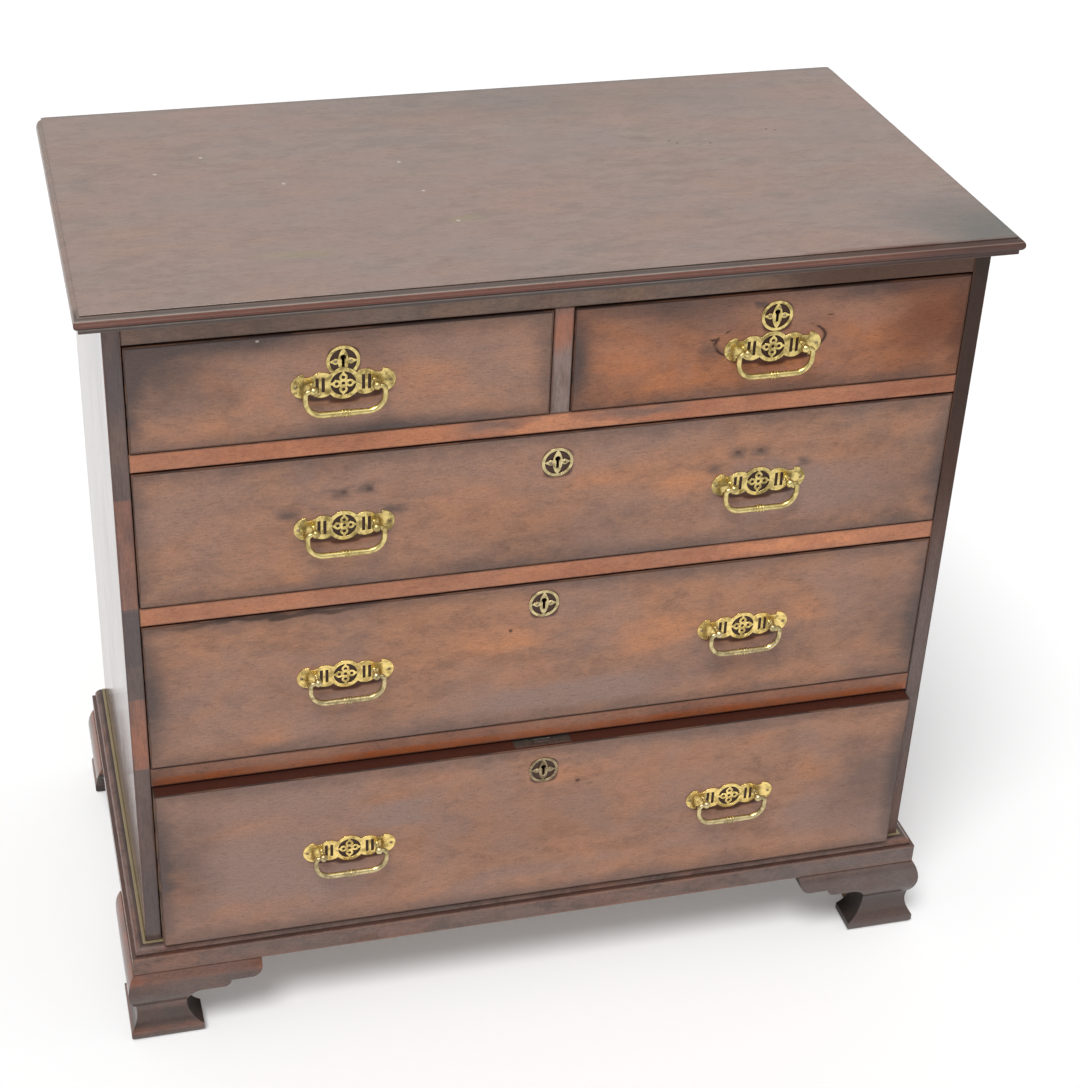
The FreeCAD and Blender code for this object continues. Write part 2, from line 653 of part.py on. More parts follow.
def ball_post(x, y, z, side):
    """Return one post: ball head with the bail's socket, collar on the plate, and threaded shank."""
    plate_front = y - PLATE_THICK
    ball_y = y - POST_REACH
    post = fuse([Part.makeSphere(POST_BALL_RADIUS, Vector(x, ball_y, z)),
                 rod(x, z, POST_STEM_RADIUS, (ball_y, y + FRONT_THICK + POST_TAIL)),
                 rod(x, z, POST_COLLAR_RADIUS, (plate_front - POST_COLLAR_LENGTH, plate_front))])
    depth = POST_BALL_RADIUS - BAIL_PIN_DEPTH + BAIL_PIN_SOCKET
    start = Vector(x + side * (POST_BALL_RADIUS - BAIL_PIN_DEPTH - BAIL_PIN_SOCKET), ball_y, z)
    socket = Part.makeCylinder(BAIL_PIN_RADIUS + BAIL_PIN_CLEARANCE, BAIL_PIN_DEPTH + depth, start,
                               Vector(side, 0, 0))
    return post.cut(socket)


def square_nut(x, y, z):
    """Return the square nut that holds a post from inside the drawer."""
    y_span = (y + FRONT_THICK, y + FRONT_THICK + NUT_THICK)
    nut = box(centred(x, NUT_WIDTH), y_span, centred(z, NUT_WIDTH))
    return nut.cut(rod(x, z, POST_STEM_RADIUS + NUT_CLEARANCE, y_span))


def bail(x, y, z):
    """Return one bail, hanging from its two pins, with three beads at the middle of its grip."""
    bottom = z - BAIL_DROP
    corner_z = bottom + BAIL_CORNER
    slant = BAIL_CORNER * (1 - math.sqrt(0.5))
    right = x + BAIL_ARM_X
    left = x - BAIL_ARM_X
    points = [Vector(right, y, z), Vector(right, y, corner_z), Vector(right - slant, y, bottom + slant),
              Vector(right - BAIL_CORNER, y, bottom), Vector(left + BAIL_CORNER, y, bottom),
              Vector(left + slant, y, bottom + slant), Vector(left, y, corner_z), Vector(left, y, z)]
    edges = [Part.makeLine(points[0], points[1]), Part.Arc(*points[1:4]).toShape(),
             Part.makeLine(points[3], points[4]), Part.Arc(*points[4:7]).toShape(),
             Part.makeLine(points[6], points[7])]
    circle = Part.Wire([Part.makeCircle(BAIL_RADIUS, points[0], Vector(0, 0, 1))])
    shapes = [Part.Wire(edges).makePipeShell([circle], True, False)]
    for side in (-1, 1):
        elbow = Vector(x + side * BAIL_ARM_X, y, z)
        inner = POST_X + POST_BALL_RADIUS - BAIL_PIN_DEPTH
        shapes.append(Part.makeSphere(BAIL_RADIUS, elbow))
        shapes.append(Part.makeCylinder(BAIL_PIN_RADIUS, BAIL_ARM_X - inner, elbow, Vector(-side, 0, 0)))
    for index in range(BAIL_BEAD_COUNT):
        bead_x = x + (index - (BAIL_BEAD_COUNT - 1) / 2) * BAIL_BEAD_PITCH
        shapes.append(Part.makeTorus(BAIL_RADIUS, BAIL_BEAD_RADIUS, Vector(bead_x, y, bottom), X_AXIS))
    return fuse(shapes)


# ---- Drawers -----------------------------------------------------------------------------------------
class Drawer:
    """One drawer: its opening, and where its lock and handles sit.

    handle_drop and key_drop are measured down from the front's top edge to the posts and the keyhole.
    """

    def __init__(self, name, x_span, floor, opening, handle_xs, handle_drop, key_drop, key_shift=0.0,
                 ajar=0.0):
        self.name = name
        self.x_span = x_span
        self.floor = floor
        self.top = floor + opening - FRONT_GAP_TOP
        self.face = -FRONT_PROUD - ajar
        self.inside = self.face + FRONT_THICK
        self.rear = self.face + DRAWER_LENGTH
        self.handle_xs = handle_xs
        self.handle_z = self.top - handle_drop
        self.key_x = sum(x_span) / 2 + key_shift
        self.key_z = self.top - key_drop

    def outer_span(self):
        """Return the drawer's own width, inside the running gaps."""
        return (self.x_span[0] + FRONT_GAP_SIDE, self.x_span[1] - FRONT_GAP_SIDE)

    def inner_span(self):
        """Return the clear width between the drawer's sides."""
        left, right = self.outer_span()
        return (left + DRAWER_SIDE_THICK, right - DRAWER_SIDE_THICK)

    def post_places(self):
        """Return each post's x and the side that its bail arm is on."""
        return [(x + side * POST_X, side) for x in self.handle_xs for side in (-1, 1)]


def tails(drawer, x_span):
    """Return the dovetails at a drawer side's front end, as one shape."""
    z_low = drawer.floor + RUNNING_GAP + DRAWER_BOTTOM_LIFT + DRAWER_BOTTOM_THICK
    z_high = drawer.top - DRAWER_SIDE_DROP
    count = max(2, round((z_high - z_low) / TAIL_PITCH))
    pitch = (z_high - z_low) / count
    root = pitch * TAIL_SHARE / 2
    depth = FRONT_THICK - LAP_THICK
    tip = root + depth * TAIL_SLOPE
    shapes = []
    for index in range(count):
        middle = z_low + (index + 0.5) * pitch
        corners = [Vector(x_span[0], drawer.inside, middle - root),
                   Vector(x_span[0], drawer.inside - depth, middle - tip),
                   Vector(x_span[0], drawer.inside - depth, middle + tip),
                   Vector(x_span[0], drawer.inside, middle + root)]
        face = Part.Face(Part.makePolygon(corners + corners[:1]))
        shapes.append(face.extrude(Vector(x_span[1] - x_span[0], 0, 0)))
    return shapes


def drawer_bottom(drawer):
    """Return the bottom board, let into grooves in the front and the sides."""
    left, right = drawer.inner_span()
    low = drawer.floor + RUNNING_GAP + DRAWER_BOTTOM_LIFT
    return box((left - DRAWER_GROOVE, right + DRAWER_GROOVE), (drawer.inside - DRAWER_GROOVE, drawer.rear),
               (low, low + DRAWER_BOTTOM_THICK))


def drawer_sides(drawer):
    """Return the two dovetailed sides, grooved for the bottom."""
    z_span = (drawer.floor + RUNNING_GAP, drawer.top - DRAWER_SIDE_DROP)
    left, right = drawer.outer_span()
    sides = []
    for x_span in ((left, left + DRAWER_SIDE_THICK), (right - DRAWER_SIDE_THICK, right)):
        board = box(x_span, (drawer.inside, drawer.rear), z_span)
        sides.append(fuse([board] + tails(drawer, x_span)).cut(drawer_bottom(drawer)))
    return sides


def drawer_box(drawer):
    """Return the drawer's two sides, back and bottom."""
    low = drawer.floor + RUNNING_GAP + DRAWER_BOTTOM_LIFT + DRAWER_BOTTOM_THICK
    back = box(drawer.inner_span(), (drawer.rear - DRAWER_SIDE_THICK, drawer.rear),
               (low, drawer.top - DRAWER_BACK_DROP))
    return drawer_sides(drawer) + [back, drawer_bottom(drawer)]


def lock_solid(drawer, hollow):
    """Return the lock: selvedge on the drawer's top edge, case behind it, and the key's pin.

    Without the hollow it is the recess that the lock fits.
    """
    plate_z = drawer.top - LOCK_PLATE_THICK
    case_y = drawer.inside - LOCK_CASE_DEPTH
    foot = drawer.key_z - LOCK_CASE_TAIL
    plate = box(centred(drawer.key_x, LOCK_PLATE_LENGTH), (drawer.face + LOCK_PLATE_SETBACK, drawer.inside),
                (plate_z, drawer.top))
    case = box(centred(drawer.key_x, LOCK_CASE_LENGTH), (case_y, drawer.inside), (foot, plate_z))
    lock = fuse([plate, case])
    if not hollow:
        return lock
    room = box(centred(drawer.key_x, LOCK_CASE_LENGTH - 2 * LOCK_WALL),
               (case_y + LOCK_WALL, drawer.inside - LOCK_WALL), (foot + LOCK_WALL, plate_z))
    bolt_y = drawer.face + BOLT_Y
    slot = box(centred(drawer.key_x, BOLT_WIDTH + 2 * BOLT_CLEARANCE),
               (bolt_y - BOLT_CLEARANCE, bolt_y + BOLT_THICK + BOLT_CLEARANCE), (plate_z, drawer.top))
    key_way = keyhole((case_y, case_y + LOCK_WALL))
    key_way.translate(Vector(drawer.key_x, 0, drawer.key_z))
    pin = rod(drawer.key_x, drawer.key_z + KEYHOLE_ROUND_Z, KEY_PIN_RADIUS, (case_y, drawer.inside))
    return fuse([lock.cut(room).cut(slot).cut(key_way), pin])


def lock_bolt(drawer):
    """Return the lock's bolt, drawn back just under the drawer's top edge."""
    top = drawer.top - BOLT_SINK
    y = drawer.face + BOLT_Y
    return box(centred(drawer.key_x, BOLT_WIDTH), (y, y + BOLT_THICK), (top - BOLT_LENGTH, top))


def pin_places(drawer):
    """Return the x and z of every pin in the drawer's brass."""
    places = [(x + side * PLATE_PIN_X, drawer.handle_z) for x in drawer.handle_xs for side in (-1, 1)]
    return places + [(drawer.key_x + side * ESCUTCHEON_PETAL_X, drawer.key_z) for side in (-1, 1)]


def drawer_front(drawer):
    """Return the front with its tail sockets, groove, lock recess, keyhole and holes."""
    through = (drawer.face, drawer.inside)
    front = box(drawer.outer_span(), through, (drawer.floor + FRONT_GAP_BOTTOM, drawer.top))
    key_way = keyhole(through)
    key_way.translate(Vector(drawer.key_x, 0, drawer.key_z))
    front = front.cut(fuse([lock_solid(drawer, False), key_way]))
    left, right = drawer.outer_span()
    cuts = [drawer_bottom(drawer)]
    cuts += tails(drawer, (left, left + DRAWER_SIDE_THICK))
    cuts += tails(drawer, (right - DRAWER_SIDE_THICK, right))
    for x, _ in drawer.post_places():
        cuts.append(rod(x, drawer.handle_z, POST_STEM_RADIUS + POST_HOLE_CLEARANCE, through))
    for x, z in pin_places(drawer):
        cuts.append(rod(x, z, PIN_SHANK_RADIUS, (drawer.face, drawer.face + PIN_SHANK_LENGTH - PLATE_THICK)))
    for cutter in cuts:
        front = front.cut(cutter)
    return front


def drawer_plates(drawer):
    """Return the drawer's backplates, escutcheon and pins.

    Where a backplate's ring would cover part of the escutcheon, the escutcheon is notched around it.
    """
    key_plate = escutcheon(drawer.face)
    key_plate.translate(Vector(drawer.key_x, 0, drawer.key_z))
    plates = []
    for x in drawer.handle_xs:
        plate = backplate(drawer.face)
        plate.translate(Vector(x, 0, drawer.handle_z))
        plates.append(plate)
        key_plate = key_plate.cut(rod(x, drawer.handle_z, PLATE_RING_RADIUS + ESCUTCHEON_NOTCH_CLEARANCE,
                                      (drawer.face - PLATE_THICK, drawer.face)))
    pins = [round_pin(x, z, drawer.face - PLATE_THICK) for x, z in pin_places(drawer)]
    return plates + [key_plate] + pins


def drawer_posts(drawer):
    """Return the ball-headed posts and the nuts inside."""
    posts = []
    for x, side in drawer.post_places():
        posts.append(ball_post(x, drawer.face, drawer.handle_z, side))
        posts.append(square_nut(x, drawer.face, drawer.handle_z))
    return posts


def chest_drawers():
    """Return the five drawers."""
    middle = POST_WIDTH / 2
    short_x = (middle + HALF_OPENING) / 2
    long_span = (-HALF_OPENING, HALF_OPENING)
    long_handles = (-LONG_DRAWER_HANDLE_X, LONG_DRAWER_HANDLE_X)
    return [
        Drawer("drawer_1_left", (-HALF_OPENING, -middle), ROW_1_FLOOR, ROW_1_OPENING, (-short_x,),
               LEFT_HANDLE_DROP, LEFT_KEY_DROP),
        Drawer("drawer_1_right", (middle, HALF_OPENING), ROW_1_FLOOR, ROW_1_OPENING, (short_x,),
               RIGHT_HANDLE_DROP, RIGHT_KEY_DROP, RIGHT_KEY_SHIFT),
        Drawer("drawer_2", long_span, ROW_2_FLOOR, ROW_2_OPENING, long_handles,
               ROW_2_HANDLE_DROP, ROW_2_KEY_DROP),
        Drawer("drawer_3", long_span, ROW_3_FLOOR, ROW_3_OPENING, long_handles,
               ROW_3_HANDLE_DROP, ROW_3_KEY_DROP, ROW_3_KEY_SHIFT),
        Drawer("drawer_4", long_span, ROW_4_FLOOR, ROW_4_OPENING, long_handles,
               ROW_4_HANDLE_DROP, ROW_4_KEY_DROP, ROW_4_KEY_SHIFT, BOTTOM_DRAWER_AJAR),
    ]


# ---- Export ------------------------------------------------------------------------------------------
def export(node, shape):
    """Write one node's solid, or group of solids, moved to the chest's origin."""
    whole = Part.makeCompound(shape) if isinstance(shape, list) else shape.copy()
    whole.translate(Vector(0, -Y_CENTRE, 0))
    whole.exportStep("parts/" + node + ".step")


def export_case(drawers):
    """Write the case, its base and its feet."""
    short_drawers = drawers[:2]
    export("top_board", top_board())
    export("side_left", side_left())
    export("side_right", mirrored(side_left()))
    export("back_boards", back_boards())
    export("bottom_board", bottom_board())
    export("rail_top", rail(TOP_RAIL_Z, TOP_RAIL_HEIGHT, short_drawers))
    export("rail_upper", rail(UPPER_RAIL_Z, UPPER_RAIL_HEIGHT, [drawers[2]]))
    export("rail_middle", rail(MIDDLE_RAIL_Z, MIDDLE_RAIL_HEIGHT, [drawers[3]]))
    export("rail_lower", rail(LOWER_RAIL_Z, LOWER_RAIL_HEIGHT, [drawers[4]]))
    export("rail_rear_top", rail_rear_top())
    export("centre_post", centre_post())
    export("centre_guide", centre_guide())
    export("drawer_runners", drawer_runners())
    export("drawer_stops", drawer_stops(drawers))
    export("base_frame", base_frame())
    export("base_moulding", base_moulding())
    for place, pieces in (("front", foot_front_left()), ("rear", foot_rear_left())):
        export("foot_" + place + "_left", pieces)
        export("foot_" + place + "_right", [mirrored(piece) for piece in pieces])
    export("foot_blocks", foot_blocks())


def export_drawer(drawer):
    """Write one drawer with its brass, its lock and its bails."""
    export(drawer.name + "_front", drawer_front(drawer))
    export(drawer.name + "_box", drawer_box(drawer))
    export(drawer.name + "_lock", lock_solid(drawer, True))
    export(drawer.name + "_bolt", lock_bolt(drawer))
    export(drawer.name + "_plates", drawer_plates(drawer))
    export(drawer.name + "_posts", drawer_posts(drawer))
    sides = ("",) if len(drawer.handle_xs) == 1 else ("_left", "_right")
    for x, side in zip(drawer.handle_xs, sides):
        export(drawer.name + "_bail" + side, bail(x, drawer.face - POST_REACH, drawer.handle_z))


def main():
    """Write every node of the chest."""
    os.makedirs("parts", exist_ok=True)
    drawers = chest_drawers()
    export_case(drawers)
    for drawer in drawers:
        export_drawer(drawer)


main()
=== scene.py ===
"""Dresses the bachelors chest: old mahogany, secondary woods, brass and steel, in a plain pale studio.

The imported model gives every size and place. Wooden pieces are copies of its solids with eased, worn
arrises. Handles, posts, pins, screws and nails are made here and repeated with geometry nodes. Lengths are
in metres, in the model's own frame: +Z up, +Y to the back.
"""

import json
import logging
import math
import zlib
from dataclasses import dataclass, replace
from enum import Enum
from typing import Any, Iterable, Mapping, Sequence

import bmesh
import bpy
from mathutils import Euler, Matrix, Vector

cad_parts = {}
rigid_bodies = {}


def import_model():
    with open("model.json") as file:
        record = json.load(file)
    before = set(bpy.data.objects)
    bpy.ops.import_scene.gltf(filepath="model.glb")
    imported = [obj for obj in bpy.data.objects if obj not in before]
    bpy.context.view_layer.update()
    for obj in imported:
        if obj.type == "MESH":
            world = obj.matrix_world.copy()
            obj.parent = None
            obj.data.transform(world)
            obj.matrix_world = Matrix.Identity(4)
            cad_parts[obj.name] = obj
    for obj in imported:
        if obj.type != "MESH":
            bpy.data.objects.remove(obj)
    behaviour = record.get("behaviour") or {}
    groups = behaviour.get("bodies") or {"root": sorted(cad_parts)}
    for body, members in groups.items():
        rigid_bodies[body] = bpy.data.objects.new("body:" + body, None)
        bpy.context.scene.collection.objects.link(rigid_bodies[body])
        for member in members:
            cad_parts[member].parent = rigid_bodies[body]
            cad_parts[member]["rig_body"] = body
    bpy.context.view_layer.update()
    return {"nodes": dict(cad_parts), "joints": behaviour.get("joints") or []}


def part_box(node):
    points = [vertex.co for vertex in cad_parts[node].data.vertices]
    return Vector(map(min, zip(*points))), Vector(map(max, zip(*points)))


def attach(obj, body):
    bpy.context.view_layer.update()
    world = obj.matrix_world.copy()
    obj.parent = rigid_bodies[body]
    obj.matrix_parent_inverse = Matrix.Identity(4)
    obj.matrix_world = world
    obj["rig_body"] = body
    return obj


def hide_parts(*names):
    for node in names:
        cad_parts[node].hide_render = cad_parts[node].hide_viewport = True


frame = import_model()
LOG = logging.getLogger("chest")

Colour = tuple[float, float, float]
Row = tuple[float, ...]
Socket = bpy.types.NodeSocket
Tree = bpy.types.NodeTree
Mesh = bpy.types.Mesh
Material = bpy.types.Material
Solid = bmesh.types.BMesh

MM = 0.001
WHITE = (1.0, 1.0, 1.0)
SHARP_ANGLE = math.radians(46)
FLAT_ANGLE = math.radians(0.3)
SOUND_SHARE = 1.001
EASING_TRIES = (1.0, 0.6, 0.35, 0.0)
PLANE_TOLERANCE = 0.00002
MITRE_TOLERANCE = 0.01
MERGE_DIGITS = 6
SEED_RANGE = 997
SEEDS_PER_METRE = 10
COPY_SEED = 7
GRAIN_ATTRIBUTE = "grain"
LOCAL_ATTRIBUTE = "from_middle"
HALF_ATTRIBUTE = "half_size"
ARRIS_ATTRIBUTE = "arris"
THICKNESS_ATTRIBUTE = "thickness"
CUT_ATTRIBUTE = "sawn_cut"


class Slot(Enum):
    """The record's material slots."""

    TOP = "mahogany_top"
    CASE = "mahogany_case"
    RAIL = "mahogany_rail"
    DRAWER = "mahogany_drawer"
    BASE = "mahogany_base"
    PINE = "pine"
    OAK = "oak"
    BRASS = "brass"
    STEEL = "steel"


class Tint(Enum):
    """What a mark on a wooden surface is."""

    WARM = "rubbed through to the warm wood"
    # Dark red: partly the wood's own unfaded tone, partly painted shade under the top's moulding, down the
    # right stile and at the right top drawer's right end.
    DEEP_RED_AND_SHADE = "red wood that the light hasn't faded"
    # Painted shade in dark red: along the top edge of each drawer front, below each plate and key plate, at
    # the right top drawer's right end, along the lower rail's bottom edge and under the base moulding.
    SHADE = "dark red polish beside brass and along top edges"
    BLOOM = "grey bloom in the polish"
    DUSK = "dark purple-grey haze of old polish"
    # Dark dirt in spots and filled holes; as lines and bands, painted shade in quirks, under mouldings, in
    # the gaps along drawer tops and down the right stile.
    GRIME_AND_SHADE = "dark dirt"
    # Old wax on the top; along the base moulding's upper fillet, a pale line that is partly painted
    # highlight.
    WAX_AND_HIGHLIGHT = "old yellow wax"
    # Flecks of paint; along the top's moulding, a painted highlight line.
    PALE_FLECK_AND_HIGHLIGHT = "fleck of paint"


# ---- Node trees ----------------------------------------------------------------------------------------
class Graph:
    """Short calls that add and link the nodes of one tree."""

    def __init__(self, tree: Tree) -> None:
        """Keep the tree that the calls work on.

        Args:
            tree: A shader or geometry node tree.
        """
        self.tree = tree

    def add(self, kind: str, inputs: Mapping[Any, Any] | None = None, **settings: Any) -> bpy.types.Node:
        """Add one node.

        Args:
            kind: The node's type name.
            inputs: Values or sockets for its inputs, by name or index.
            settings: The node's own properties.

        Returns:
            The new node.
        """
        node = self.tree.nodes.new(kind)
        for name, value in settings.items():
            setattr(node, name, value)
        for key, value in (inputs or {}).items():
            self.feed(node.inputs[key], value)
        return node

    def feed(self, socket: Socket, value: Any) -> None:
        """Link a socket to an input, or set the input's own value.

        Args:
            socket: The input.
            value: A socket to link, or a plain value.
        """
        if isinstance(value, Socket):
            self.tree.links.new(value, socket)
        elif socket.type == "RGBA" and len(value) == 3:
            socket.default_value = (*value, 1.0)
        else:
            socket.default_value = value

    def out(self, kind: str, inputs: Mapping[Any, Any], **settings: Any) -> Socket:
        """Add one node and return its first output."""
        return self.add(kind, inputs, **settings).outputs[0]

    def math(self, operation: str, first: Any, second: Any = 0.0, clamp: bool = False) -> Socket:
        """Add a math node and return its result."""
        return self.out("ShaderNodeMath", {0: first, 1: second}, operation=operation, use_clamp=clamp)

    def times(self, first: Any, second: Any, clamp: bool = False) -> Socket:
        """Return a product."""
        return self.math("MULTIPLY", first, second, clamp)

    def plus(self, first: Any, second: Any, clamp: bool = False) -> Socket:
        """Return a sum."""
        return self.math("ADD", first, second, clamp)

    def vector(self, operation: str, first: Any, second: Any = (0.0, 0.0, 0.0)) -> Socket:
        """Add a vector math node and return its vector."""
        return self.out("ShaderNodeVectorMath", {0: first, 1: second}, operation=operation)

    def length(self, value: Any) -> Socket:
        """Add a vector length node and return its value."""
        return self.add("ShaderNodeVectorMath", {0: value}, operation="LENGTH").outputs["Value"]

    def parts(self, value: Any) -> Any:
        """Return the three numbers of a vector."""
        return self.add("ShaderNodeSeparateXYZ", {0: value}).outputs

    def mix(self, share: Any, first: Any, second: Any, blend: str = "MIX") -> Socket:
        """Mix two colours and return the result."""
        node = self.add("ShaderNodeMix", {0: share, 6: first, 7: second}, data_type="RGBA", blend_type=blend,
                        clamp_factor=True)
        return node.outputs[2]

    def smooth(self, value: Any, low: Any, high: Any, start: Any = 0.0, end: Any = 1.0) -> Socket:
        """Return a smooth step from start to end as a value goes from low to high."""
        inputs = {0: value, 1: low, 2: high, 3: start, 4: end}
        return self.out("ShaderNodeMapRange", inputs, interpolation_type="SMOOTHSTEP")

    def spread(self, value: Any, low: float, high: float) -> Socket:
        """Return a value from 0 to 1 mapped to a range, unclamped."""
        return self.out("ShaderNodeMapRange", {0: value, 3: low, 4: high}, clamp=False)

    def noise(self, vector: Any, scale: Colour, detail: float = 2.0, rough: float = 0.5,
              warp: float = 0.0) -> Any:
        """Return the outputs of a noise node on a vector that is first scaled along each axis."""
        inputs = {"Vector": self.vector("MULTIPLY", vector, scale), "Scale": 1.0, "Detail": detail,
                  "Roughness": rough, "Distortion": warp}
        return self.add("ShaderNodeTexNoise", inputs).outputs

    def group(self, tree: Tree, inputs: Mapping[str, Any]) -> Any:
        """Place a node group with its values and return its outputs."""
        return self.add("ShaderNodeGroup", inputs, node_tree=tree).outputs

    def attribute(self, name: str) -> Any:
        """Return the outputs of one of the mesh's attributes."""
        return self.add("ShaderNodeAttribute", attribute_name=name).outputs

    def bump(self, strength: float, distance: float, height: Socket) -> Socket:
        """Return the normal of a relief."""
        return self.out("ShaderNodeBump", {"Strength": strength, "Distance": distance, "Height": height})

    def offset(self, source: Any) -> Socket:
        """Return how far a group's place is from its centre, in half sizes."""
        return self.vector("DIVIDE", self.vector("SUBTRACT", source["Place"], source["Centre"]),
                           source["Half Size"])

    def mirrored(self, ray: Any) -> Socket:
        """Return whether a ray comes off a mirror or through glass."""
        return self.math("MAXIMUM", ray["Is Glossy Ray"], ray["Is Transmission Ray"])


def open_group(kind: str, name: str, inputs: Mapping[str, str], outputs: Mapping[str, str]
               ) -> tuple[Graph, Any, Any]:
    """Start a node group with its named sockets.

    Args:
        kind: The tree's type name.
        name: The group's name.
        inputs: The kind of each input, such as Float.
        outputs: The kind of each output.

    Returns:
        The graph, its input node's outputs and its output node's inputs.
    """
    tree = bpy.data.node_groups.new(name, kind)
    for in_out, sockets in (("INPUT", inputs), ("OUTPUT", outputs)):
        for label, holds in sockets.items():
            tree.interface.new_socket(name=label, in_out=in_out, socket_type="NodeSocket" + holds)
    graph = Graph(tree)
    return graph, graph.add("NodeGroupInput").outputs, graph.add("NodeGroupOutput").inputs


def open_material(name: str) -> tuple[Material, Graph, Any]:
    """Start a material.

    Args:
        name: The material's name.

    Returns:
        The material, its graph and the inputs of its shader.
    """
    material = bpy.data.materials.new(name)
    material.use_nodes = True
    return material, Graph(material.node_tree), material.node_tree.nodes["Principled BSDF"].inputs


def timber_figure() -> Tree:
    """Make the group that draws the figure of a board along its grain.

    Returns:
        A group from grain coordinates to fibre, figure, patches, cloud and pores.
    """
    graph, source, result = open_group(
        "ShaderNodeTree", "timber_figure", {"Grain": "Vector"},
        {"Fibre": "Float", "Figure": "Float", "Patches": "Float", "Cloud": "Float", "Pores": "Float"})
    grain = source["Grain"]
    sway = graph.noise(grain, (5.0, 20.0, 20.0), 1.0)["Color"]
    bent = graph.vector("ADD", grain, graph.vector("MULTIPLY", sway, (0.0, 0.006, 0.006)))
    streaks = graph.noise(bent, (120.0, 620.0, 620.0), 3.0, 0.7)["Fac"]
    crossing = graph.noise(grain, (430.0, 430.0, 430.0), 2.0, 0.6)["Fac"]
    graph.feed(result["Fibre"], graph.plus(graph.times(streaks, 0.5), graph.times(crossing, 0.5)))
    graph.feed(result["Figure"], graph.noise(bent, (34.0, 58.0, 58.0), 5.0, 0.66, 0.25)["Fac"])
    graph.feed(result["Patches"], graph.noise(bent, (10.0, 17.0, 17.0), 5.0, 0.6, 0.4)["Fac"])
    graph.feed(result["Cloud"], graph.noise(grain, (7.0, 9.0, 9.0), 4.0, 0.56, 0.6)["Fac"])
    dashes = graph.noise(bent, (110.0, 1300.0, 1300.0), 1.0)["Fac"]
    graph.feed(result["Pores"], graph.smooth(dashes, 0.58, 0.7))
    return graph.tree


def border_distance() -> Tree:
    """Make the group that measures how far a point of a board's face is from the face's nearest edge.

    Of the three distances to the board's sides, the least is to the face itself, and the middle one is to
    the nearest edge of that face.

    Returns:
        A group from the place from the middle and the half size to the distance.
    """
    graph, source, result = open_group(
        "ShaderNodeTree", "border_distance", {"From Middle": "Vector", "Half Size": "Vector"},
        {"Distance": "Float"})
    absolute = graph.vector("ABSOLUTE", source["From Middle"])
    x, y, z = graph.parts(graph.vector("SUBTRACT", source["Half Size"], absolute))
    greater = graph.math("MINIMUM", graph.math("MAXIMUM", x, y), z)
    graph.feed(result["Distance"], graph.math("MAXIMUM", graph.math("MINIMUM", x, y), greater))
    return graph.tree


def soft_patch() -> Tree:
    """Make the group that masks a rounded box with a soft edge.

    Returns:
        A group from a place, a centre, a half size, the share of it that is solid, and a strength to a mask.
    """
    graph, source, result = open_group(
        "ShaderNodeTree", "soft_patch",
        {"Place": "Vector", "Centre": "Vector", "Half Size": "Vector", "Core": "Float", "Strength": "Float"},
        {"Mask": "Float"})
    offset = graph.offset(source)
    reach = graph.math("SQRT", graph.length(graph.vector("MULTIPLY", offset, offset)))
    edge = graph.smooth(reach, source["Core"], 1.0, 1.0, 0.0)
    graph.feed(result["Mask"], graph.times(edge, source["Strength"]))
    return graph.tree


def ghost_ring() -> Tree:
    """Make the group that masks the outline that a removed backplate left in the polish.

    Returns:
        A group from a place, a centre, a half size and a line width to a mask.
    """
    graph, source, result = open_group(
        "ShaderNodeTree", "ghost_ring",
        {"Place": "Vector", "Centre": "Vector", "Half Size": "Vector", "Line": "Float"}, {"Mask": "Float"})
    offset = graph.offset(source)
    across = graph.math("ABSOLUTE", graph.parts(offset)[0])
    away = graph.math("ABSOLUTE", graph.math("SUBTRACT", graph.length(offset), 1.0))
    line = graph.math("SUBTRACT", 1.0, graph.math("DIVIDE", away, source["Line"]), clamp=True)
    broken = graph.noise(source["Place"], (60.0, 60.0, 60.0))["Fac"]
    kept = graph.times(graph.smooth(broken, 0.4, 0.52), graph.smooth(across, 0.66, 0.82))
    graph.feed(result["Mask"], graph.times(line, kept))
    return graph.tree


def scattered_flecks() -> Tree:
    """Make the group that scatters small flecks of mixed size.

    Returns:
        A group from a place, a number per metre, a share and a size to a mask.
    """
    graph, source, result = open_group(
        "ShaderNodeTree", "scattered_flecks",
        {"Place": "Vector", "Per Metre": "Float", "Share": "Float", "Size": "Float"}, {"Mask": "Float"})
    inputs = {"Vector": source["Place"], "Scale": source["Per Metre"]}
    cells = graph.add("ShaderNodeTexVoronoi", inputs).outputs
    chance = graph.add("ShaderNodeSeparateColor", {0: cells["Color"]}).outputs
    kept = graph.math("LESS_THAN", chance[0], source["Share"])
    reach = graph.times(graph.times(source["Size"], source["Per Metre"]), graph.spread(chance[1], 0.4, 1.0))
    graph.feed(result["Mask"], graph.times(kept, graph.math("LESS_THAN", cells["Distance"], reach)))
    return graph.tree


class Groups:
    """The shader groups, each made once."""

    def __init__(self) -> None:
        """Make the groups."""
        self.figure = timber_figure()
        self.border = border_distance()
        self.patch = soft_patch()
        self.ghost = ghost_ring()
        self.flecks = scattered_flecks()


GROUPS = Groups()


# ---- Finishes ------------------------------------------------------------------------------------------
@dataclass(frozen=True)
class Patch:
    """A soft-edged mark on a board, placed from the board's middle."""

    tint: Tint
    centre: Colour
    half: Colour
    strength: float = 1.0
    core: float = 0.3
    crisp: bool = False


Marks = tuple[Patch, ...]

# Rows of marks and these sizes are in millimetres from a board's middle.
THROUGH = 500.0
ALL_ROUND = 1000.0
BAND_CORE = 0.4
TOP_FRONT = -262.0
TOP_FRONT_REACH = 34.0
STILE_FRONT = -247.0
STILE_REACH = 14.0
CRISP_STILE_REACH = 2.5


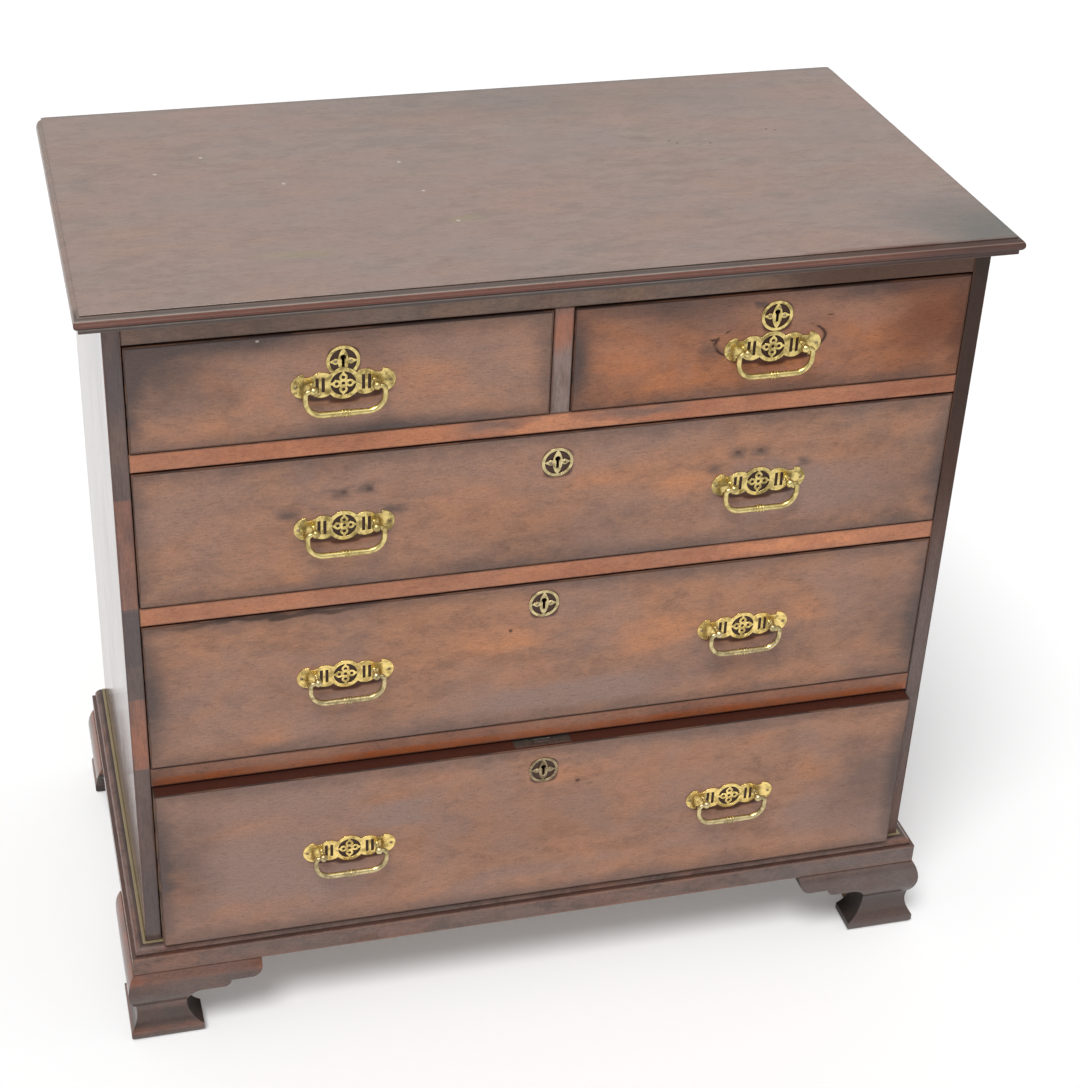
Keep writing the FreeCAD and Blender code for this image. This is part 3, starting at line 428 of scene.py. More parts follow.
def on_front(tint: Tint, *rows: Row, crisp: bool = False) -> Marks:
    """Return marks on a front.

    Args:
        tint: What they are.
        rows: Middle x and z, half width and half height in millimetres, then strength and solid share.
        crisp: Whether they keep a straight outline.

    Returns:
        The marks.
    """
    return tuple(Patch(tint, (x * MM, 0.0, z * MM), (width * MM, THROUGH * MM, height * MM), *rest,
                       crisp=crisp) for x, z, width, height, *rest in rows)


def on_top(tint: Tint, *rows: Row, crisp: bool = False) -> Marks:
    """Return marks on a top, as on_front does, but with y and half depth for z and half height."""
    return tuple(Patch(tint, (x * MM, y * MM, 0.0), (width * MM, depth * MM, THROUGH * MM), *rest,
                       crisp=crisp) for x, y, width, depth, *rest in rows)


def on_stile(tint: Tint, *rows: Row, crisp: bool = False) -> Marks:
    """Return marks on the front edge of a side.

    Args:
        tint: What they are.
        rows: Middle and half height in millimetres, then strength and solid share.
        crisp: Whether they keep a straight outline.

    Returns:
        The marks, which reach less far round the arris where they are crisp.
    """
    reach = CRISP_STILE_REACH if crisp else STILE_REACH
    return tuple(Patch(tint, (0.0, STILE_FRONT * MM, z * MM), (THROUGH * MM, reach * MM, height * MM), *rest,
                       crisp=crisp) for z, height, *rest in rows)


def band(tint: Tint, *rows: Row, y: float = 0.0, reach: float = ALL_ROUND) -> Marks:
    """Return level bands right round a board, or near one depth y, by middle, half height and strength."""
    return tuple(Patch(tint, (0.0, y * MM, z * MM), (ALL_ROUND * MM, reach * MM, height * MM), strength,
                       BAND_CORE, True) for z, height, strength in rows)


def front_band(tint: Tint, *rows: Row) -> Marks:
    """Return level bands along the top board's front edge."""
    return band(tint, *rows, y=TOP_FRONT, reach=TOP_FRONT_REACH)


@dataclass(frozen=True)
class WoodFinish:
    """The look of one kind of board.

    Colours run from the dark figure over the ground to the warm wood where the polish is rubbed; bloom,
    dirt and painted shade lie over them.
    """

    name: str
    slot: Slot
    dark: Colour
    ground: Colour
    warm: Colour
    # Dark red tone, also used as painted shade.
    deep_red_and_shade: Colour = (0.1, 0.032, 0.02)
    bloom: Colour = (0.2, 0.15, 0.135)
    dusk: Colour = (0.075, 0.056, 0.056)
    # Colour of the painted shade.
    shade: Colour = (0.056, 0.017, 0.011)
    # Colour of dirt and of painted shade, and of the pores.
    grime_and_shade: Colour = (0.02, 0.013, 0.01)
    # Colour of old wax, also of the base moulding's painted highlight.
    wax: Colour = (0.3, 0.25, 0.12)
    # Colour of paint flecks, also of the top moulding's painted highlight.
    pale: Colour = (0.62, 0.58, 0.5)
    warm_share: float = 0.5
    bloom_share: float = 0.5
    dusk_width: float = 0.02
    dusk_share: float = 0.45
    # Width and strength of the dark line along every edge: painted shade in the gaps and corners, with dirt.
    grime_and_shade_width: float = 0.0024
    grime_and_shade_share: float = 0.8
    fibre: float = 0.5
    pores: float = 0.3
    arris: float = 0.2
    specular: float = 0.35
    roughness: float = 0.28
    bump: float = 0.08
    stretch: float = 1.0
    fleck_share: float = 0.03
    patches: Marks = ()
    ghost: tuple[Colour, Colour] | None = None

    def marks(self, graph: Graph, places: tuple[Socket, Socket], tint: Tint) -> Socket | float:
        """Return the mask of this board's marks of one tint.

        Args:
            graph: The material's graph.
            places: The place from the board's middle, as it is for crisp marks, and warped for soft ones.
            tint: Which marks.

        Returns:
            A mask socket, or 0 where there is none.
        """
        total: Socket | float = 0.0
        for patch in self.patches:
            if patch.tint is tint:
                values = {"Place": places[0] if patch.crisp else places[1], "Centre": patch.centre,
                          "Half Size": patch.half, "Core": patch.core, "Strength": patch.strength}
                total = graph.math("MAXIMUM", total, graph.group(GROUPS.patch, values)[0])
        return total

    def material(self) -> Material:
        """Build the finish.

        Returns:
            The new material.
        """
        material, graph, shader = open_material(self.name)
        grain = graph.vector("MULTIPLY", graph.attribute(GRAIN_ATTRIBUTE)["Vector"],
                             (1.0 / self.stretch, 1.0, 1.0))
        figure = graph.group(GROUPS.figure, {"Grain": grain})
        middle = graph.attribute(LOCAL_ATTRIBUTE)["Vector"]
        half = graph.attribute(HALF_ATTRIBUTE)["Vector"]
        border = graph.group(GROUPS.border, {"From Middle": middle, "Half Size": half})[0]
        warp = graph.noise(grain, (22.0, 60.0, 60.0), 3.0)
        offset = graph.vector("SUBTRACT", warp["Color"], (0.5, 0.5, 0.5))
        offset = graph.vector("MULTIPLY", offset, (0.05, 0.02, 0.02))
        places = (middle, graph.vector("ADD", middle, offset))
        marks = {tint: self.marks(graph, places, tint) for tint in Tint}

        warm = graph.times(graph.smooth(figure["Patches"], 0.36, 0.7), self.warm_share)
        patchy = graph.times(graph.spread(figure["Figure"], -0.35, 1.65), marks[Tint.WARM])
        warm = graph.plus(warm, patchy, clamp=True)
        bloom = graph.times(graph.smooth(figure["Cloud"], 0.34, 0.68), self.bloom_share)
        bloom = graph.plus(bloom, marks[Tint.BLOOM], clamp=True)
        uneven = graph.spread(warp["Fac"], 0.2, 1.8)
        hazy = graph.math("DIVIDE", border, graph.times(uneven, self.dusk_width))
        dusk = graph.times(graph.smooth(hazy, 0.0, 1.0, 1.0, 0.0), self.dusk_share)
        dusk = graph.plus(dusk, marks[Tint.DUSK])
        dusk = graph.times(dusk, graph.spread(figure["Patches"], 1.5, 0.5), clamp=True)
        # A dark line along every edge of each board: painted shade in the gaps and corners, with dirt.
        line = graph.math("DIVIDE", border, graph.times(uneven, self.grime_and_shade_width))
        grime_and_shade = graph.times(graph.smooth(line, 0.3, 1.0, 1.0, 0.0), self.grime_and_shade_share)
        # The sawn inner faces and the dark marks add to it: painted shade there, with dirt.
        cut = graph.times(graph.attribute(CUT_ATTRIBUTE)["Fac"], graph.spread(warp["Fac"], 0.7, 1.1))
        dirt = [marks[Tint.GRIME_AND_SHADE], cut]
        if self.ghost:
            values = {"Place": middle, "Centre": self.ghost[0], "Half Size": self.ghost[1], "Line": 0.06}
            dirt.append(graph.group(GROUPS.ghost, values)[0])
        for mask in dirt:
            grime_and_shade = graph.math("MAXIMUM", grime_and_shade, mask)

        colour = graph.mix(graph.smooth(figure["Figure"], 0.34, 0.62), self.dark, self.ground)
        # Tones over the ground; the dark red, the shade and the dark line hold painted shade.
        for mask, tone in ((warm, self.warm), (bloom, self.bloom), (dusk, self.dusk),
                           (marks[Tint.DEEP_RED_AND_SHADE], self.deep_red_and_shade), (marks[Tint.SHADE], self.shade),
                           (grime_and_shade, self.grime_and_shade)):
            colour = graph.mix(mask, colour, tone)
        streak = graph.spread(figure["Fibre"], 1.0 - self.fibre, 1.0 + self.fibre)
        streaks = graph.out("ShaderNodeCombineColor", {0: streak, 1: streak, 2: streak})
        colour = graph.mix(1.0, colour, streaks, "MULTIPLY")
        pores = graph.times(figure["Pores"], self.pores)
        rubbed = graph.times(graph.attribute(ARRIS_ATTRIBUTE)["Fac"], graph.smooth(warp["Fac"], 0.42, 0.6))
        # Pale flecks and pale marks, one of them a painted highlight along the top's moulding.
        specks = {"Place": middle, "Per Metre": 26.0, "Share": self.fleck_share, "Size": 0.0009}
        pale = graph.math("MAXIMUM", graph.group(GROUPS.flecks, specks)[0], marks[Tint.PALE_FLECK_AND_HIGHLIGHT])
        for mask, tone in ((pores, self.grime_and_shade), (graph.times(rubbed, self.arris), self.warm),
                           (marks[Tint.WAX_AND_HIGHLIGHT], self.wax), (graph.times(pale, 0.6), self.pale)):
            colour = graph.mix(mask, colour, tone)
        graph.feed(shader["Base Color"], colour)
        shader["Specular IOR Level"].default_value = self.specular

        dull = graph.plus(graph.times(bloom, 0.08), graph.times(grime_and_shade, 0.4))
        gloss = graph.spread(figure["Figure"], self.roughness - 0.05, self.roughness + 0.05)
        graph.feed(shader["Roughness"], graph.plus(gloss, dull))
        relief = graph.math("SUBTRACT", figure["Fibre"], graph.times(figure["Pores"], 0.6))
        graph.feed(shader["Normal"], graph.bump(self.bump, 0.4 * MM, relief))
        return material


@dataclass(frozen=True)
class MetalFinish:
    """The look of one kind of metal: bright where it is rubbed and along its eased edges, where the
    brightness is partly a painted highlight; tarnished elsewhere.
    """

    name: str
    slot: Slot
    bright: Colour
    tarnish: Colour
    tarnish_share: float
    roughness: float
    bump: float

    def material(self) -> Material:
        """Build the finish.

        Returns:
            The new material.
        """
        material, graph, shader = open_material(self.name)
        place = graph.add("ShaderNodeTexCoord").outputs["Object"]
        blotch = graph.noise(place, (110.0, 110.0, 110.0), 4.0, 0.58, 0.5)["Fac"]
        fine = graph.times(graph.noise(place, (900.0, 900.0, 900.0), 3.0, 0.6)["Fac"], 0.25)
        dents = graph.plus(blotch, fine)
        # Less tarnish on the eased edges: rubbed brass, and partly a painted highlight.
        rubbed = graph.times(graph.attribute(ARRIS_ATTRIBUTE)["Fac"], -0.8)
        dull = graph.times(graph.smooth(dents, 0.5, 0.8), graph.plus(rubbed, 1.0))
        dull = graph.times(dull, self.tarnish_share)
        graph.feed(shader["Base Color"], graph.mix(dull, self.bright, self.tarnish))
        graph.feed(shader["Roughness"], graph.spread(dull, self.roughness, self.roughness + 0.3))
        shader["Metallic"].default_value = 1.0
        graph.feed(shader["Normal"], graph.bump(self.bump, 1.2 * MM, dents))
        return material


# ---- Mesh code -----------------------------------------------------------------------------------------
@dataclass(frozen=True)
class Easing:
    """How the sharp edges of an old piece are rounded."""

    width: float
    segments: int = 3
    outer_only: bool = True
    least_angle: float = math.radians(28)
    least_length: float = 4.0


ARRIS = Easing(1.1 * MM)
WORN_FOOT = Easing(2.0 * MM, 3, outer_only=False, least_length=2.5)
CARVED = Easing(0.7 * MM, 2, outer_only=False)
ROUGH_SAWN = Easing(0.6 * MM, 2)
CUT_BRASS = Easing(0.22 * MM, 2, outer_only=False, least_angle=math.radians(50), least_length=0.6)
FILED = Easing(0.3 * MM, 2, outer_only=False, least_angle=math.radians(50), least_length=2.0)


def split_solids(node: str) -> list[Solid]:
    """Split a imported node's loose triangles into its closed solids.

    The triangles of a solid follow each other, so a solid ends where every edge has met its partner.

    Args:
        node: The node's name.

    Returns:
        One merged mesh for each solid.
    """
    mesh = frame["nodes"][node].data
    solids: list[Solid] = []
    current = bmesh.new()
    points: dict[tuple[float, ...], bmesh.types.BMVert] = {}
    unmet: set[tuple[int, int]] = set()
    for polygon in mesh.polygons:
        corners = []
        for index in polygon.vertices:
            place = mesh.vertices[index].co
            key = tuple(round(value, MERGE_DIGITS) for value in place)
            if key not in points:
                points[key] = current.verts.new(place)
                points[key].index = len(points)
            corners.append(points[key])
        if len(set(corners)) == len(corners):
            current.faces.new(corners)
            for first, second in zip(corners, corners[1:] + corners[:1]):
                pair = (first.index, second.index)
                if pair[::-1] in unmet:
                    unmet.remove(pair[::-1])
                else:
                    unmet.add(pair)
        if not unmet and current.faces:
            solids.append(current)
            current = bmesh.new()
            points = {}
    if current.faces:
        solids.append(current)
    for solid in solids:
        solid.normal_update()
        bmesh.ops.dissolve_limit(solid, angle_limit=FLAT_ANGLE, verts=solid.verts, edges=solid.edges)
        solid.normal_update()
    return solids


def extent(solid: Solid) -> tuple[Vector, Vector]:
    """Return the lowest and highest corner of a mesh."""
    columns = list(zip(*(vert.co for vert in solid.verts)))
    return Vector([min(column) for column in columns]), Vector([max(column) for column in columns])


def is_outer(face: bmesh.types.BMFace, low: Vector, high: Vector) -> bool:
    """Tell whether a face lies on one of the six planes around its solid.

    Args:
        face: The face.
        low: The solid's lowest corner.
        high: Its highest corner.

    Returns:
        Whether it does.
    """
    middle = face.calc_center_median()
    for axis in range(3):
        if abs(face.normal[axis]) > 1.0 - PLANE_TOLERANCE:
            return min(abs(middle[axis] - low[axis]), abs(middle[axis] - high[axis])) < PLANE_TOLERANCE
    return False


def is_mitre(face: bmesh.types.BMFace) -> bool:
    """Tell whether a face is a mitre, upright and at 45 degrees to the front."""
    x, y, z = (abs(value) for value in face.normal)
    return abs(x - y) < MITRE_TOLERANCE and z < MITRE_TOLERANCE


def sharp_edges(solid: Solid, easing: Easing) -> list[bmesh.types.BMEdge]:
    """Return the edges of a solid that an easing rounds.

    Args:
        solid: The mesh.
        easing: Which edges are rounded, and by how much.

    Returns:
        The edges.
    """
    low, high = extent(solid)
    edges = []
    for edge in solid.edges:
        if not edge.is_convex or edge.calc_length() < easing.least_length * easing.width:
            continue
        if edge.calc_face_angle(0.0) < easing.least_angle:
            continue
        if easing.outer_only and not all(is_outer(face, low, high) for face in edge.link_faces):
            continue
        if any(is_mitre(face) for face in edge.link_faces):
            continue
        edges.append(edge)
    return edges


def is_sound(solid: Solid) -> bool:
    """Tell whether every flat face of a mesh is still a simple outline, by the area of its triangles.

    Args:
        solid: The mesh.

    Returns:
        Whether it is.
    """
    areas: dict[bmesh.types.BMFace, float] = {}
    for first, second, third in solid.calc_loop_triangles():
        cross = (second.vert.co - first.vert.co).cross(third.vert.co - first.vert.co)
        areas[first.face] = areas.get(first.face, 0.0) + cross.length / 2
    return all(len(face.verts) <= 4 or area < face.calc_area() * SOUND_SHARE for face, area in areas.items())


def eased(solid: Solid, easing: Easing) -> Solid:
    """Round a solid's sharp edges and mark the rounded strips, by less where the full width won't fit.

    Args:
        solid: The mesh, freed here.
        easing: Which edges are rounded, and by how much.

    Returns:
        The rounded mesh.
    """
    for share in EASING_TRIES:
        trial = solid.copy()
        layer = trial.faces.layers.float.new(ARRIS_ATTRIBUTE)
        edges = sharp_edges(trial, easing)
        if edges and share:
            made = bmesh.ops.bevel(trial, geom=edges, offset=easing.width * share, offset_type="OFFSET",
                                   profile=0.5, segments=easing.segments, affect="EDGES", clamp_overlap=False)
            for face in made["faces"]:
                face[layer] = 1.0
        if not share or is_sound(trial):
            break
        trial.free()
    solid.free()
    return trial


def mark_grain(solid: Solid, seed: float) -> None:
    """Store where each point of a board is along and across its grain, and how big the board is.

    Args:
        solid: The mesh of one board, changed in place.
        seed: A number that sets this board's figure apart from the others'.
    """
    low, high = extent(solid)
    middle, half = (low + high) / 2, (high - low) / 2
    order = sorted(range(3), key=lambda axis: -half[axis])
    layers = solid.verts.layers.float_vector
    grain, local, size = (layers.new(name) for name in (GRAIN_ATTRIBUTE, LOCAL_ATTRIBUTE, HALF_ATTRIBUTE))
    for vert in solid.verts:
        offset = vert.co - middle
        vert[grain] = Vector([offset[axis] for axis in order]) + Vector((seed, seed / 3, seed / 7))
        vert[local] = offset
        vert[size] = half


def mark_cuts(solid: Solid) -> None:
    """Mark the upright faces of a board's sawn outline, but not its mitre or its ends, for their painted
    shade.

    Args:
        solid: The mesh of one upright board, changed in place.
    """
    most_across, least_along = 0.3, 0.2
    low, high = extent(solid)
    along = 0 if high.x - low.x > high.y - low.y else 1
    layer = solid.faces.layers.float.new(CUT_ATTRIBUTE)
    for face in solid.faces:
        is_cut = abs(face.normal[1 - along]) < most_across and abs(face.normal[along]) > least_along
        if is_cut and not is_outer(face, low, high):
            face[layer] = 1.0


def plain(solid: Solid, name: str) -> Mesh:
    """Turn a mesh that is being edited into a plain one.

    Args:
        solid: The mesh, freed here.
        name: The plain mesh's name.

    Returns:
        The plain mesh.
    """
    mesh = bpy.data.meshes.new(name)
    solid.to_mesh(mesh)
    solid.free()
    return mesh


def joined(solids: Iterable[Solid], name: str) -> Mesh:
    """Join meshes into one.

    Args:
        solids: The meshes, freed here.
        name: The new mesh's name.

    Returns:
        The joined mesh.
    """
    whole = bmesh.new()
    for solid in solids:
        part = plain(solid, name)
        whole.from_mesh(part)
        bpy.data.meshes.remove(part)
    return plain(whole, name)


def add_object(name: str, data: bpy.types.ID) -> bpy.types.Object:
    """Put a new object into the scene.

    Args:
        name: The object's name.
        data: Its mesh, lamp or camera.

    Returns:
        The object.
    """
    made = bpy.data.objects.new(name, data)
    bpy.context.scene.collection.objects.link(made)
    return made


def put(name: str, mesh: Mesh, body: str, slot: Slot, material: Material,
        *replaced: str) -> bpy.types.Object:
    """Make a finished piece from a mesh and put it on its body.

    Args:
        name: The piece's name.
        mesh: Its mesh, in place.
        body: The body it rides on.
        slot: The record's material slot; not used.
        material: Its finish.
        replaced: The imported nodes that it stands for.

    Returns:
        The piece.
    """
    mesh.materials.clear()
    mesh.materials.append(material)
    mesh.shade_smooth()
    mesh.set_sharp_from_angle(angle=SHARP_ANGLE)
    piece = add_object(name, mesh)
    even = piece.modifiers.new("even_shading", "WEIGHTED_NORMAL")
    even.keep_sharp = True
    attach(piece, body)
    if replaced:
        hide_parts(*replaced)
    LOG.info("piece %s on body %s: %d faces", name, body, len(mesh.polygons))
    return piece


def body_of(node: str) -> str:
    """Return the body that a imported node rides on."""
    return frame["nodes"][node]["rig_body"]


def board(node: str, finish: WoodFinish, easing: Easing, material: Material | None = None,
          sawn: bool = False) -> bpy.types.Object:
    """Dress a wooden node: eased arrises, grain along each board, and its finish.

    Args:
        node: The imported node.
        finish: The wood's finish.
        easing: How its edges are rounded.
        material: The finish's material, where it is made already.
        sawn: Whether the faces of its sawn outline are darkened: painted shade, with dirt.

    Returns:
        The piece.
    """
    solids = split_solids(node)
    for index, solid in enumerate(solids):
        if sawn:
            mark_cuts(solid)
        mark_grain(solid, zlib.crc32(f"{node}{index}".encode()) % SEED_RANGE / SEEDS_PER_METRE)
    solids = [eased(solid, easing) for solid in solids]
    material = material or finish.material()
    return put(node + "_finished", joined(solids, node), body_of(node), finish.slot, material, node)


def lathe(name: str, profile: Sequence[tuple[float, float]], sides: int) -> Mesh:
    """Turn a profile about the Y axis.

    Args:
        name: The mesh's name.
        profile: Place along Y and radius of each ring, from one end to the other; both ends are closed.
        sides: The number of sides.

    Returns:
        The closed mesh, with its faces outwards.
    """
    turned = bmesh.new()
    rings = []
    for y, radius in profile:
        angles = [2 * math.pi * index / sides for index in range(sides)]
        rings.append([turned.verts.new((radius * math.cos(angle), y, radius * math.sin(angle)))
                      for angle in angles])
    for lower, upper in zip(rings, rings[1:]):
        for index in range(sides):
            after = (index + 1) % sides
            turned.faces.new((lower[index], lower[after], upper[after], upper[index]))
    turned.faces.new(rings[0])
    turned.faces.new(rings[-1][::-1])
    bmesh.ops.recalc_face_normals(turned, faces=turned.faces)
    return plain(turned, name)


# ---- Geometry nodes ------------------------------------------------------------------------------------
def repeat_tree() -> Tree:
    """Make the tree that sets one part on every point, each turned about Y by chance.

    Returns:
        The geometry tree.
    """
    graph, source, result = open_group(
        "GeometryNodeTree", "part_on_points",
        {"Points": "Geometry", "Part": "Object", "Turn": "Vector", "Seed": "Int", "Finish": "Material"},
        {"Pieces": "Geometry"})
    part = graph.add("GeometryNodeObjectInfo", {"Object": source["Part"]}).outputs["Geometry"]
    turn = graph.out("FunctionNodeRandomValue", {1: source["Turn"], "Seed": source["Seed"]},
                     data_type="FLOAT_VECTOR")
    copies = graph.out("GeometryNodeInstanceOnPoints",
                       {"Points": source["Points"], "Instance": part, "Rotation": turn})
    real = graph.out("GeometryNodeRealizeInstances", {0: copies})
    finished = graph.out("GeometryNodeSetMaterial", {"Geometry": real, "Material": source["Finish"]})
    graph.feed(result["Pieces"], finished)
    return graph.tree


def bail_tree() -> Tree:
    """Make the tree that sweeps a bail along its line and slides rings onto the middle of its grip.

    Returns:
        The geometry tree.
    """
    graph, source, result = open_group(
        "GeometryNodeTree", "ringed_bail",
        {"Line": "Geometry", "Sides": "Int", "Ring Radius": "Float", "Ring Thickness": "Float",
         "Ring Pitch": "Float", "Ring Count": "Int", "Grip Drop": "Float", "Grip Lean": "Float",
         "Finish": "Material"}, {"Bail": "Geometry"})
    section, around, rim = (
        graph.out("GeometryNodeCurvePrimitiveCircle", {"Resolution": source["Sides"], "Radius": radius})
        for radius in (1.0, source["Ring Radius"], source["Ring Thickness"]))
    line = graph.out("GeometryNodeMeshToCurve", {"Mesh": source["Line"]})
    thick = graph.out("GeometryNodeInputNamedAttribute", {"Name": THICKNESS_ATTRIBUTE}, data_type="FLOAT")
    bar = graph.out("GeometryNodeCurveToMesh",
                    {"Curve": line, "Profile Curve": section, "Scale": thick, "Fill Caps": True})
    ring = graph.out("GeometryNodeCurveToMesh", {"Curve": around, "Profile Curve": rim})
    upright = graph.out("GeometryNodeTransform", {"Geometry": ring, "Rotation": (0.0, math.pi / 2, 0.0)})
    half_run = graph.times(graph.math("SUBTRACT", source["Ring Count"], 1.0), -0.5)
    start = graph.out("ShaderNodeCombineXYZ", {
        0: graph.times(half_run, source["Ring Pitch"]), 1: source["Grip Lean"],
        2: graph.times(source["Grip Drop"], -1.0)})
    step = graph.out("ShaderNodeCombineXYZ", {0: source["Ring Pitch"]})
    places = graph.out("GeometryNodeMeshLine",
                       {"Count": source["Ring Count"], "Start Location": start, "Offset": step})
    rings = graph.out("GeometryNodeInstanceOnPoints", {"Points": places, "Instance": upright})
    whole = graph.add("GeometryNodeJoinGeometry")
    for part in (bar, rings):
        graph.tree.links.new(part, whole.inputs[0])
    real = graph.out("GeometryNodeRealizeInstances", {0: whole.outputs[0]})
    finished = graph.out("GeometryNodeSetMaterial", {"Geometry": real, "Material": source["Finish"]})
    graph.feed(result["Bail"], finished)
    return graph.tree


def grow(tree: Tree, seed_mesh: Mesh, values: Mapping[str, Any]) -> Mesh:
    """Run a geometry tree on a mesh and return the result as a plain mesh.

    Args:
        tree: The geometry tree.
        seed_mesh: The points or the line that it starts from.
        values: Its other inputs, by name.

    Returns:
        The new mesh.
    """
    holder = add_object("growing", seed_mesh)
    modifier = holder.modifiers.new("grow", "NODES")
    modifier.node_group = tree
    for item in tree.interface.items_tree:
        if item.item_type == "SOCKET" and item.in_out == "INPUT" and item.name in values:
            modifier[item.identifier] = values[item.name]
    graph = bpy.context.evaluated_depsgraph_get()
    mesh = bpy.data.meshes.new_from_object(holder.evaluated_get(graph))
    bpy.data.objects.remove(holder)
    return mesh


def repeated(part: Mesh, places: Sequence[Vector], material: Material) -> Mesh:
    """Set a part on every place, each copy turned about Y by chance.

    Args:
        part: The part's mesh, about the origin.
        places: Where the copies go.
        material: Their finish.

    Returns:
        One mesh with all the copies.
    """
    points = bpy.data.meshes.new("places")
    points.from_pydata([tuple(place) for place in places], [], [])
    pattern = add_object("pattern", part)
    mesh = grow(TREES.repeat, points, {"Part": pattern, "Turn": (0.0, math.pi, 0.0), "Seed": COPY_SEED,
                                       "Finish": material})
    bpy.data.objects.remove(pattern)
    return mesh


class Trees:
    """The geometry trees, each made once."""

    def __init__(self) -> None:
        """Make the trees."""
        self.repeat = repeat_tree()
        self.bail = bail_tree()


TREES = Trees()


# ---- Wood and metal finishes ---------------------------------------------------------------------------
FLECK_SPOTS = ((-369, 71), (-315, 109), (-238, 21), (-105, 58), (-96, -25), (-78, -108))
DARK_SPOTS = ((327, 78), (336, 73), (206, 63), (213, 55), (250, 49))
TOP_WOOD = WoodFinish(
    "top_mahogany", Slot.TOP, dark=(0.238, 0.17, 0.143), ground=(0.295, 0.216, 0.18),
    warm=(0.335, 0.2, 0.15), deep_red_and_shade=(0.12, 0.024, 0.009), bloom=(0.275, 0.21, 0.196),
    dusk=(0.125, 0.122, 0.11), warm_share=0.55, dusk_width=0.012, dusk_share=0.3, grime_and_shade_share=0.3,
    fibre=0.28, roughness=0.26, specular=0.5, fleck_share=0.02, stretch=1.4, patches=(
        # Along the front edge the bands paint the moulding's light and shade: a dark line in the quirk, a
        # painted highlight on the round, and painted shade on the round's lower part and on the fillet below;
        # the right end is darker, partly painted shade.
        front_band(Tint.GRIME_AND_SHADE, (8.3, 1.0, 0.95), (6.4, 1.5, 0.7))
        + front_band(Tint.PALE_FLECK_AND_HIGHLIGHT, (4.9, 0.6, 0.25)) + front_band(Tint.DEEP_RED_AND_SHADE, (2.6, 2.8, 0.8))
        + band(Tint.GRIME_AND_SHADE, (8.3, 1.0, 0.3), (-3.4, 2.2, 1.0), (-7.8, 2.4, 0.7))
        + band(Tint.DEEP_RED_AND_SHADE, (-1.4, 3.8, 1.0)) + on_top(Tint.DEEP_RED_AND_SHADE, (440, -262, 300, 14, 0.8, 0.2))
        + on_top(Tint.GRIME_AND_SHADE, (450, -264, 150, 12, 0.5, 0.2))
        + on_top(Tint.WARM, (-200, -60, 320, 160, 0.4, 0.0), (29, -68, 90, 60, 0.7, 0.0),
                 (257, -84, 80, 44, 0.7, 0.0))
        + on_top(Tint.DUSK, (470, -225, 150, 120, 0.95, 0.0), (-444, 62, 26, 50, 0.18, 0.0),
                 (120, 215, 420, 90, 0.3, 0.0), (-94, 118, 60, 26, 0.28, 0.0), (-35, 84, 60, 26, 0.22, 0.0),
                 (275, -105, 22, 18, 0.4, 0.0), (193, -139, 26, 20, 0.4, 0.0))
        + on_top(Tint.WAX_AND_HIGHLIGHT, (-255, -160, 70, 12, 0.4, 0.0), (-66, -103, 30, 14, 0.4, 0.0),
                 (-100, 20, 50, 9, 0.18, 0.0))
        + on_top(Tint.PALE_FLECK_AND_HIGHLIGHT, *((x, y, 2.4, 2.4, 1.0, 0.6) for x, y in FLECK_SPOTS), crisp=True)
        + on_top(Tint.GRIME_AND_SHADE, *((x, y, 1.6, 1.6, 0.9, 0.5) for x, y in DARK_SPOTS), crisp=True)))
CASE_WOOD = WoodFinish(
    "case_mahogany", Slot.CASE, dark=(0.085, 0.052, 0.045), ground=(0.13, 0.08, 0.066),
    warm=(0.42, 0.14, 0.066), deep_red_and_shade=(0.065, 0.02, 0.012), bloom=(0.15, 0.115, 0.105), warm_share=0.12,
    bloom_share=0.6, dusk_share=0.2, grime_and_shade_share=0.5, stretch=2.2)
RAIL_WOOD = WoodFinish(
    "rail_mahogany", Slot.RAIL, dark=(0.32, 0.115, 0.06), ground=(0.39, 0.15, 0.078),
    warm=(0.66, 0.25, 0.108), deep_red_and_shade=(0.14, 0.028, 0.008), bloom=(0.34, 0.165, 0.105), warm_share=0.35,
    dusk_width=0.003, dusk_share=0.3, grime_and_shade_width=0.0016, grime_and_shade_share=0.6)
DRAWER_WOOD = WoodFinish(
    "drawer_mahogany", Slot.DRAWER, dark=(0.23, 0.117, 0.075), ground=(0.35, 0.172, 0.1),
    warm=(0.47, 0.2, 0.095), bloom=(0.27, 0.168, 0.135), dusk=(0.092, 0.06, 0.052),
    grime_and_shade=(0.026, 0.013, 0.009), warm_share=0.4, bloom_share=0.65, dusk_width=0.026, dusk_share=0.55)
BASE_WOOD = WoodFinish(
    "base_mahogany", Slot.BASE, dark=(0.075, 0.043, 0.034), ground=(0.115, 0.066, 0.05),
    warm=(0.19, 0.078, 0.046), bloom=(0.12, 0.09, 0.082), dusk=(0.04, 0.026, 0.022), bloom_share=0.6,
    dusk_share=0.12, grime_and_shade_share=0.14, specular=0.5, roughness=0.18)
PINE_WOOD = WoodFinish(
    "old_pine", Slot.PINE, dark=(0.3, 0.19, 0.1), ground=(0.42, 0.28, 0.155), warm=(0.46, 0.27, 0.13),
    bloom=(0.3, 0.24, 0.18), bloom_share=0.6, roughness=0.7, bump=0.2, fibre=0.75, stretch=4.5)
OAK_WOOD = WoodFinish(
    "drawer_oak", Slot.OAK, dark=(0.3, 0.2, 0.11), ground=(0.4, 0.28, 0.16), warm=(0.44, 0.28, 0.14),
    bloom=(0.32, 0.26, 0.19), dusk_share=0.3, roughness=0.66, bump=0.2, pores=0.5, fibre=0.75, stretch=4.0)

